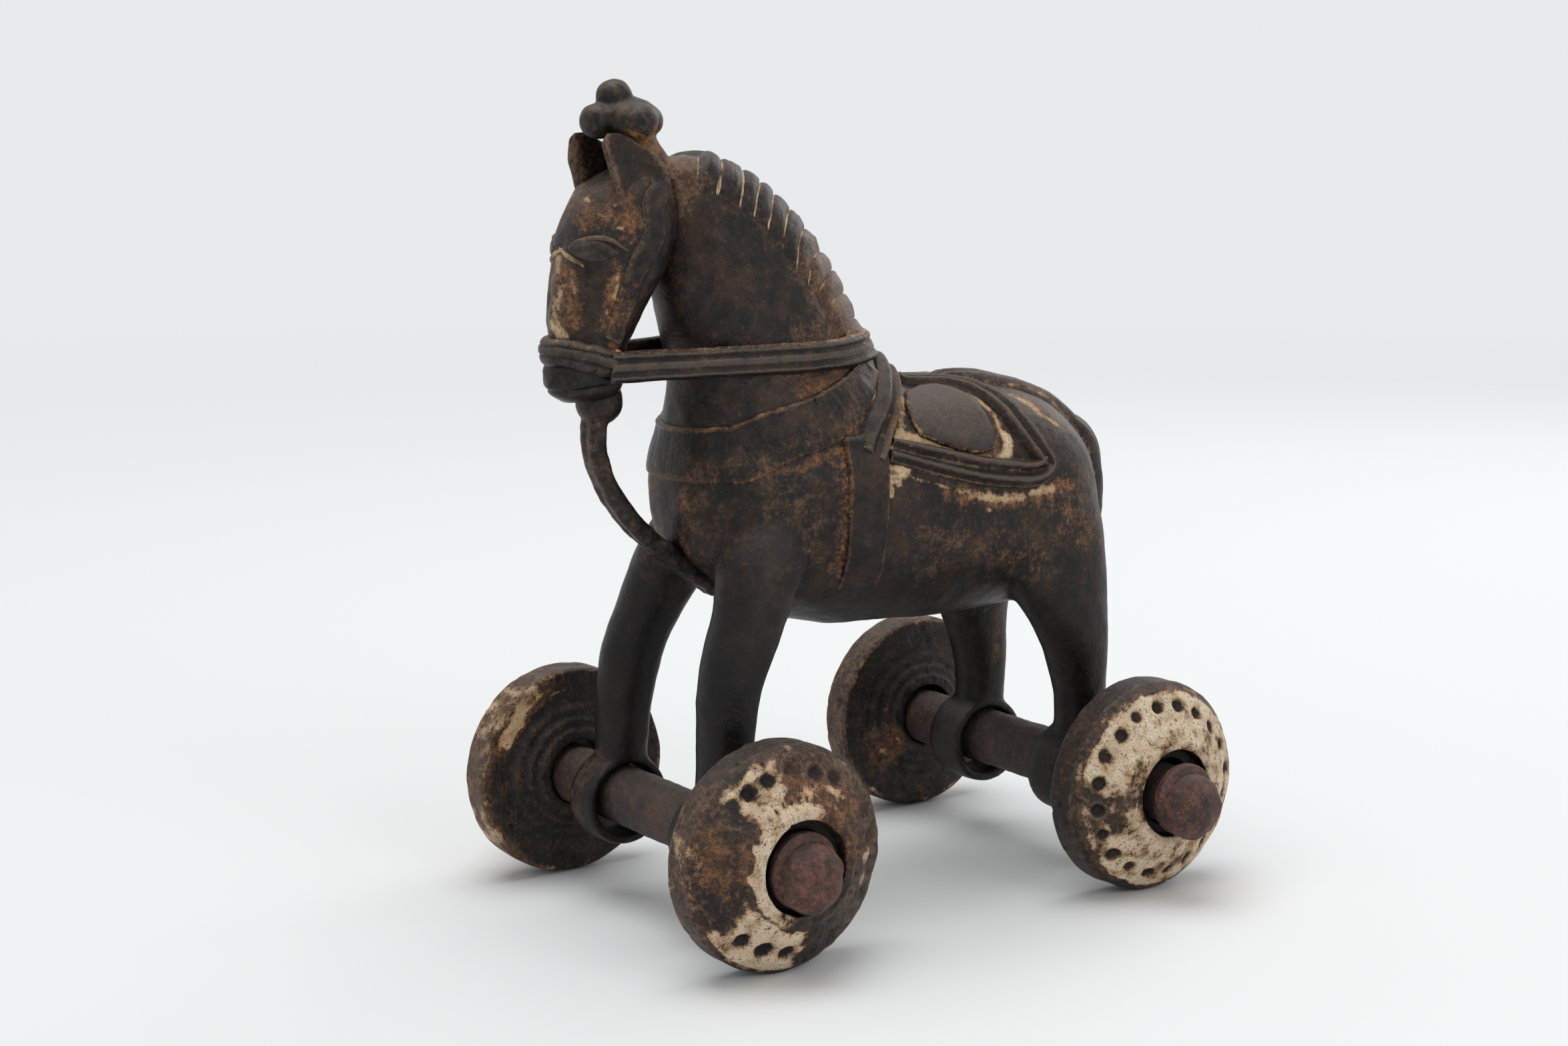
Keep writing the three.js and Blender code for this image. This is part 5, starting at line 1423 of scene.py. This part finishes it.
def axleSkin(half, seed):
    # a rod's profile turned round its line; the heads are domed, hammered and hang a little low
    a = axle
    inner = half - a["headLength"]
    swing = np.linspace(0.03, np.pi / 2, 24)
    dome = np.stack([a["head"] * np.sin(swing) ** 0.9, half - a["dome"] * (1 - np.cos(swing))], -1)
    corners = np.vstack([dome, [
        [a["head"], inner + 2.4], [a["flange"], inner + 1.8], [a["flange"], inner + 0.2],
        [a["flange"] - 0.3, inner], [a["radius"], inner - 0.1], [a["radius"], 0]]])
    line = evenLine(np.vstack([corners, (corners * [1, -1])[-2::-1]]), 460, 1)
    turn = circle(a["around"])
    radius, along = line[:, 0:1], line[:, 1:2] + 0 * turn
    raw = turned(along, radius, turn)
    isHead = eased(np.abs(along), inner - 0.6, inner + 0.2)
    dents = (a["rodDent"] + a["headDent"] * isHead) * (1 - waves(raw, 4.0, seed)) / 2
    dents = dents + (a["rodPit"] + a["headPit"] * isHead) * (1 - waves(raw, 1.5, seed + 1))
    onDome = eased(np.abs(along), inner + 1.8, inner + 3)
    dents = dents * np.where(isHead > 0.5, 0.1 + 0.9 * onDome, 1)
    radius = np.maximum(radius - dents * eased(radius, 0.0, 4.0), 0.02)
    give = a["headGive"] * (1 - waves(raw, 3.0, seed + 2)) * eased(radius, 7.5, 5.5)
    along = along - np.sign(along) * isHead * give
    grid = np.stack([along, radius * np.cos(turn), radius * np.sin(turn) - a["droop"] * onDome], -1)
    return closedTube(grid), isHead


for node, seed in (("front_axle", 211), ("rear_axle", 231)):
    box = nodeBox[node]
    half = (box[1, 0] - box[0, 0]) / 2
    skin, isHead = axleSkin(half, seed)
    onHead, (x, _, z) = withCaps(isHead), skin[0].T
    # the flange behind each domed head is darkened as painted shade, and the rod's top is lightened with dust
    # and painted sheen
    addPiece("forged_" + node, skin, forgedIron, node,
             {"rust": 0.1 + 0.42 * onHead, "tan": 0.15 + 0.35 * onHead, "wash": 0.24 * onHead * eased(z, -2, 5),
              "dust": 0.3 + 0.5 * eased(z, 1, 6), "hollow": 1.3 * bell(np.abs(x), half - 8, 0.9)},
             box.mean(0), [node], dustAndSheenShare=0.3)
bpy.data.objects.remove(bed)
print("axles made")


# Floor, light and camera
stage = {"floorColour": (0.86, 0.87, 0.875), "floorRings": (0.00001, 0.2, 0.6, 1.5, 3.0), "fadeStart": 0.12,
         "fadeEnd": 1.5, "backdrop": (0.807, 0.823, 0.838), "glow": 0.48}
# Each lamp's place, width and power, and the place they all face
lampTarget = (0, 0, 0.08)
lamps = {"softTop": ((-0.25, -0.15, 2.2), 2.0, 27.5), "softBack": ((-0.25, 0.85, 0.5), 0.5, 1.3),
         "softLeft": ((0.75, 0.1, 0.45), 0.5, 1.0)}
cameraPlace = {"at": (443.57, -323.99 + castingPlace[1], 170.14), "right": (0.5681, 0.8230, 0.0020),
               "up": (-0.1367, 0.0920, 0.9863), "back": (0.8115, -0.5606, 0.1648), "lens": 59.66}


def addFloor():
    # a large disc whose edge fades into the pale world
    turn, radius = circle(96), np.array(stage["floorRings"])[:, None]
    grid = np.stack([radius * np.cos(turn), radius * np.sin(turn), 0 * radius * turn], -1)
    index = np.arange(radius.size * turn.size).reshape(-1, turn.size)
    nextSide = np.roll(index, -1, 1)
    quads = np.stack([index[:-1], index[1:], nextSide[1:], nextSide[:-1]], -1).reshape(-1, 4)
    floor = placed("floor", meshOf("floor", (grid.reshape(-1, 3), quads, noTriangles)))
    material = bpy.data.materials.new("paleFloor")
    material.use_nodes = True
    nodes, links = material.node_tree.nodes, material.node_tree.links
    nodes.clear()
    output, mix = nodes.new("ShaderNodeOutputMaterial"), nodes.new("ShaderNodeMixShader")
    matt, clear = nodes.new("ShaderNodeBsdfDiffuse"), nodes.new("ShaderNodeBsdfTransparent")
    matt.inputs["Color"].default_value = (*stage["floorColour"], 1)
    place, distance = nodes.new("ShaderNodeTexCoord"), nodes.new("ShaderNodeVectorMath")
    fade = nodes.new("ShaderNodeMapRange")
    distance.operation = "LENGTH"
    fade.interpolation_type = "SMOOTHSTEP"
    fade.inputs[1].default_value, fade.inputs[2].default_value = stage["fadeStart"], stage["fadeEnd"]
    links.new(place.outputs["Object"], distance.inputs[0])
    links.new(distance.outputs["Value"], fade.inputs[0])
    links.new(fade.outputs[0], mix.inputs[0])
    links.new(matt.outputs[0], mix.inputs[1])
    links.new(clear.outputs[0], mix.inputs[2])
    links.new(mix.outputs[0], output.inputs["Surface"])
    floor.data.materials.append(material)


def addWorld():
    # camera, glossy and transmission rays see the pale backdrop; the light itself is softer
    world = bpy.data.worlds.new("paleRoom")
    bpy.context.scene.world = world
    world.use_nodes = True
    nodes, links = world.node_tree.nodes, world.node_tree.links
    nodes.clear()
    output, mix = nodes.new("ShaderNodeOutputWorld"), nodes.new("ShaderNodeMixShader")
    path = nodes.new("ShaderNodeLightPath")
    glow, backdrop = nodes.new("ShaderNodeBackground"), nodes.new("ShaderNodeBackground")
    glow.inputs["Color"].default_value, glow.inputs["Strength"].default_value = (1, 1, 1, 1), stage["glow"]
    backdrop.inputs["Color"].default_value = (*stage["backdrop"], 1)
    backdrop.inputs["Strength"].default_value = 1.0
    shares = [path.outputs[label] for label in ("Is Camera Ray", "Is Glossy Ray", "Is Transmission Ray")]
    for extra in shares[1:]:
        either = nodes.new("ShaderNodeMath")
        either.operation = "MAXIMUM"
        links.new(shares[0], either.inputs[0])
        links.new(extra, either.inputs[1])
        shares[0] = either.outputs[0]
    links.new(shares[0], mix.inputs[0])
    links.new(glow.outputs[0], mix.inputs[1])
    links.new(backdrop.outputs[0], mix.inputs[2])
    links.new(mix.outputs[0], output.inputs["Surface"])


def setFrame(thing, at, right, up, back):
    # the object's own axes as the columns of its turn, then its place
    thing.matrix_world = Matrix.Translation(at) @ Matrix(np.stack([right, up, back], 1).tolist()).to_4x4()


def addLamp(name, at, size, power):
    # a round area lamp turned to the toy
    data = bpy.data.lights.new(name, "AREA")
    data.shape, data.size, data.energy = "DISK", size, power
    back = unit(np.array(at, float) - np.array(lampTarget, float))
    right = unit(np.cross([0, 0, 1], back))
    setFrame(placed(name, data), at, right, np.cross(back, right), back)


def addCamera():
    # the camera that was solved from the photograph's wheels, on a full-frame sensor
    camera = placed("camera", bpy.data.cameras.new("camera"))
    camera.data.sensor_fit, camera.data.sensor_width, camera.data.lens = "HORIZONTAL", 36, cameraPlace["lens"]
    camera.data.clip_start, camera.data.clip_end = 0.01, 20
    setFrame(camera, np.array(cameraPlace["at"]) * mm, *(cameraPlace[axis] for axis in ("right", "up", "back")))
    bpy.context.scene.camera = camera


addFloor()
addWorld()
for name, (at, size, power) in lamps.items():
    addLamp(name, at, size, power)
addCamera()
bpy.context.scene.view_settings.view_transform = "Standard"
print("floor, lamps and camera set")
